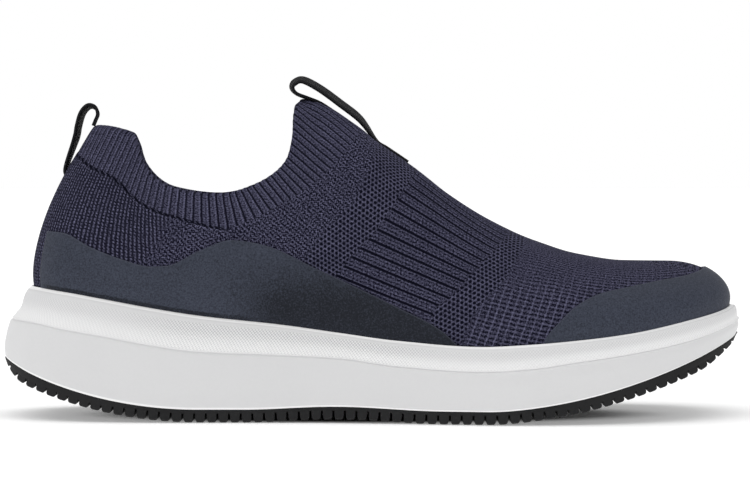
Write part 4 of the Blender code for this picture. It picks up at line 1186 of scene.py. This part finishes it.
def makeLoops():
    finish = webbingFinish()
    off = shoe["fit"] + webbing["thickness"] / 2
    back = Rays(np.array([0.0]), -1).points(np.linspace(0, 1, 201)[None, :])[0]
    edge = back[-1]
    sewn = []
    for drop in webbing["heelSewn"]:
        level = edge[2] - webbing["heelDrop"] * drop
        sewn.append((np.interp(level, back[:, 2], back[:, 0]) - off, level))
    crest = np.array([edge[0] + upperShape["collarWall"] / 2, edge[2] + upperShape["rimRound"]])
    free = [crest + np.array(knot) * webbing["heelRise"] for knot in webbing["heel"]]
    sewn[0] = (sewn[0][0] + webbing["sunk"], sewn[0][1])
    path = smoothPath(sewn + free + [crest + np.array([-0.0016, -0.0004])])
    rolls = np.interp(np.linspace(0, 1, len(path)), webbing["heelRoll"]["place"], webbing["heelRoll"]["turn"])
    makeRibbon("heelLoop", "heel_loop", path, webbing["heelWidth"], np.zeros(len(path)), rolls, finish)

    tip = ridgePoint(np.array(ridge["along"][0]))
    alongs = np.linspace(ridge["along"][0], ridge["along"][-1], 400)
    tops = ridgePoint(alongs)

    def onRidge(along):
        x = shoe["length"] * along
        here = np.array([x, np.interp(x, tops[:, 0], tops[:, 2])])
        behind, before = np.interp((x - off, x + off), tops[:, 0], tops[:, 2])
        step = np.array([2 * off, before - behind])
        normal = np.array([-step[1], step[0]]) / math.hypot(*step)
        return here + normal * (off + webbing["lift"])

    sewn = [onRidge(along) for along in np.linspace(*webbing["tongueEnds"], 4)]
    free = [np.array([tip[0], tip[2]]) + np.array(knot) * webbing["tongueRise"] for knot in webbing["tongue"]]
    under = [onRidge(along) for along in np.linspace(*webbing["tongueUnder"], 6)]
    for knot, drop in zip(under, webbing["underDrop"]):
        knot[1] -= drop
    path = smoothPath(sewn + free + under)
    shift = read(ridge, "shift", path[:, 0] / shoe["length"]) * shoe["ballWidth"] / 2
    places = np.arange(len(path)) / (len(path) - 1)
    rolls = webbing["tongueRoll"] * ease((places - 0.16) / 0.12) * (1 - ease((places - 0.50) / 0.14))
    makeRibbon("tongueLoop", "tongue_loop", path, webbing["tongueWidth"], shift, rolls, finish)


# Studio

studio = {
    "floor": (0.93, 0.93, 0.93),
    "floorMarks": (0.95, 0.95, 0.95),
    "horizon": 1.0,  # brightness of the sky low down and overhead
    "overhead": 0.5,
    "sunStrength": 1.15,
    "floorGlow": 0.27,  # painted light: the floor glows to keep its shadow soft, but not right under the sole, where a contact shadow is painted
    "footprint": (9.0, 26.0, 0.0),  # one over its half length and half width
    "sunSoftness": 75.0,
    "sunHeight": 80.0,
    "sunSide": -142.0,  # degrees about the vertical that the light comes from: from the heel's front
    "floorReach": 12.0,
    "camera": (0.0008, -1.100, 0.100),
    "lens": 129.6,
    "sensor": 36.0,
    "picture": (750, 480),
    "eyeLevel": 168.8,  # pixels down the picture at which the camera looks level
}


def makeStudio():
    floor = Finish("paleFloor", studio["floor"], 0.9, {"Specular IOR Level": 0.1})
    floor.tint(floor.noise(3.0, 2.0), studio["floor"], studio["floorMarks"])
    # painted light: the floor glows, and the glow fades out over an ellipse round the sole, which paints a dark
    # contact shadow under it
    spot = floor.node("ShaderNodeVectorMath", {"operation": "MULTIPLY"}, {0: floor.place(), 1: studio["footprint"]})
    apart = floor.value("ShaderNodeVectorMath", {"operation": "LENGTH"}, {0: spot.outputs[0]}, 1)
    floor.set("Emission Color", floor.mix(rise(apart, 0.80, 1.15), (0.0, 0.0, 0.0), (1.0, 1.0, 1.0)))
    floor.set("Emission Strength", studio["floorGlow"])
    mesh = bpy.data.meshes.new("floor")
    far = studio["floorReach"]
    mesh.from_pydata([(-far, -far, 0), (far, -far, 0), (far, far, 0), (-far, far, 0)], [], [(0, 1, 2, 3)])
    mesh.materials.append(floor.material)
    addObject("floor", mesh)

    world = bpy.data.worlds.new("studio")
    world.use_nodes = True
    sky = Nodes(world.node_tree)
    up = sky.value("ShaderNodeSeparateXYZ", {}, {0: sky.node("ShaderNodeTexCoord", {}, {}).outputs[0]}, 2)
    back = world.node_tree.nodes["Background"]
    back.inputs["Color"].default_value = (1, 1, 1, 1)
    sky.fill(back.inputs["Strength"], blend(rise(up, 0.2, 0.45), studio["horizon"], studio["overhead"]))

    scene = bpy.context.scene
    scene.world = world
    scene.view_settings.view_transform = "Standard"
    lamp = bpy.data.lights.new("softSun", "SUN")
    lamp.energy = studio["sunStrength"]
    lamp.angle = math.radians(studio["sunSoftness"])
    turn = (0, math.radians(90 - studio["sunHeight"]), math.radians(studio["sunSide"]))
    addObject("softSun", lamp).rotation_euler = turn

    lens = bpy.data.cameras.new("camera")
    lens.sensor_width = studio["sensor"]
    lens.lens = studio["lens"]
    lens.clip_end = 60.0
    scene.camera = addObject("camera", lens)
    scene.camera.location = studio["camera"]
    width, height = studio["picture"]
    focus = width * studio["lens"] / studio["sensor"]  # the lens in pixels
    scene.camera.rotation_euler = (math.pi / 2 - math.atan((height / 2 - studio["eyeLevel"]) / focus), 0, 0)
    print("studio ready")


makeStudio()
makeFoam()
makeTread()
makeFootbed()
makeKnit()
makeFilms()
makeLoops()
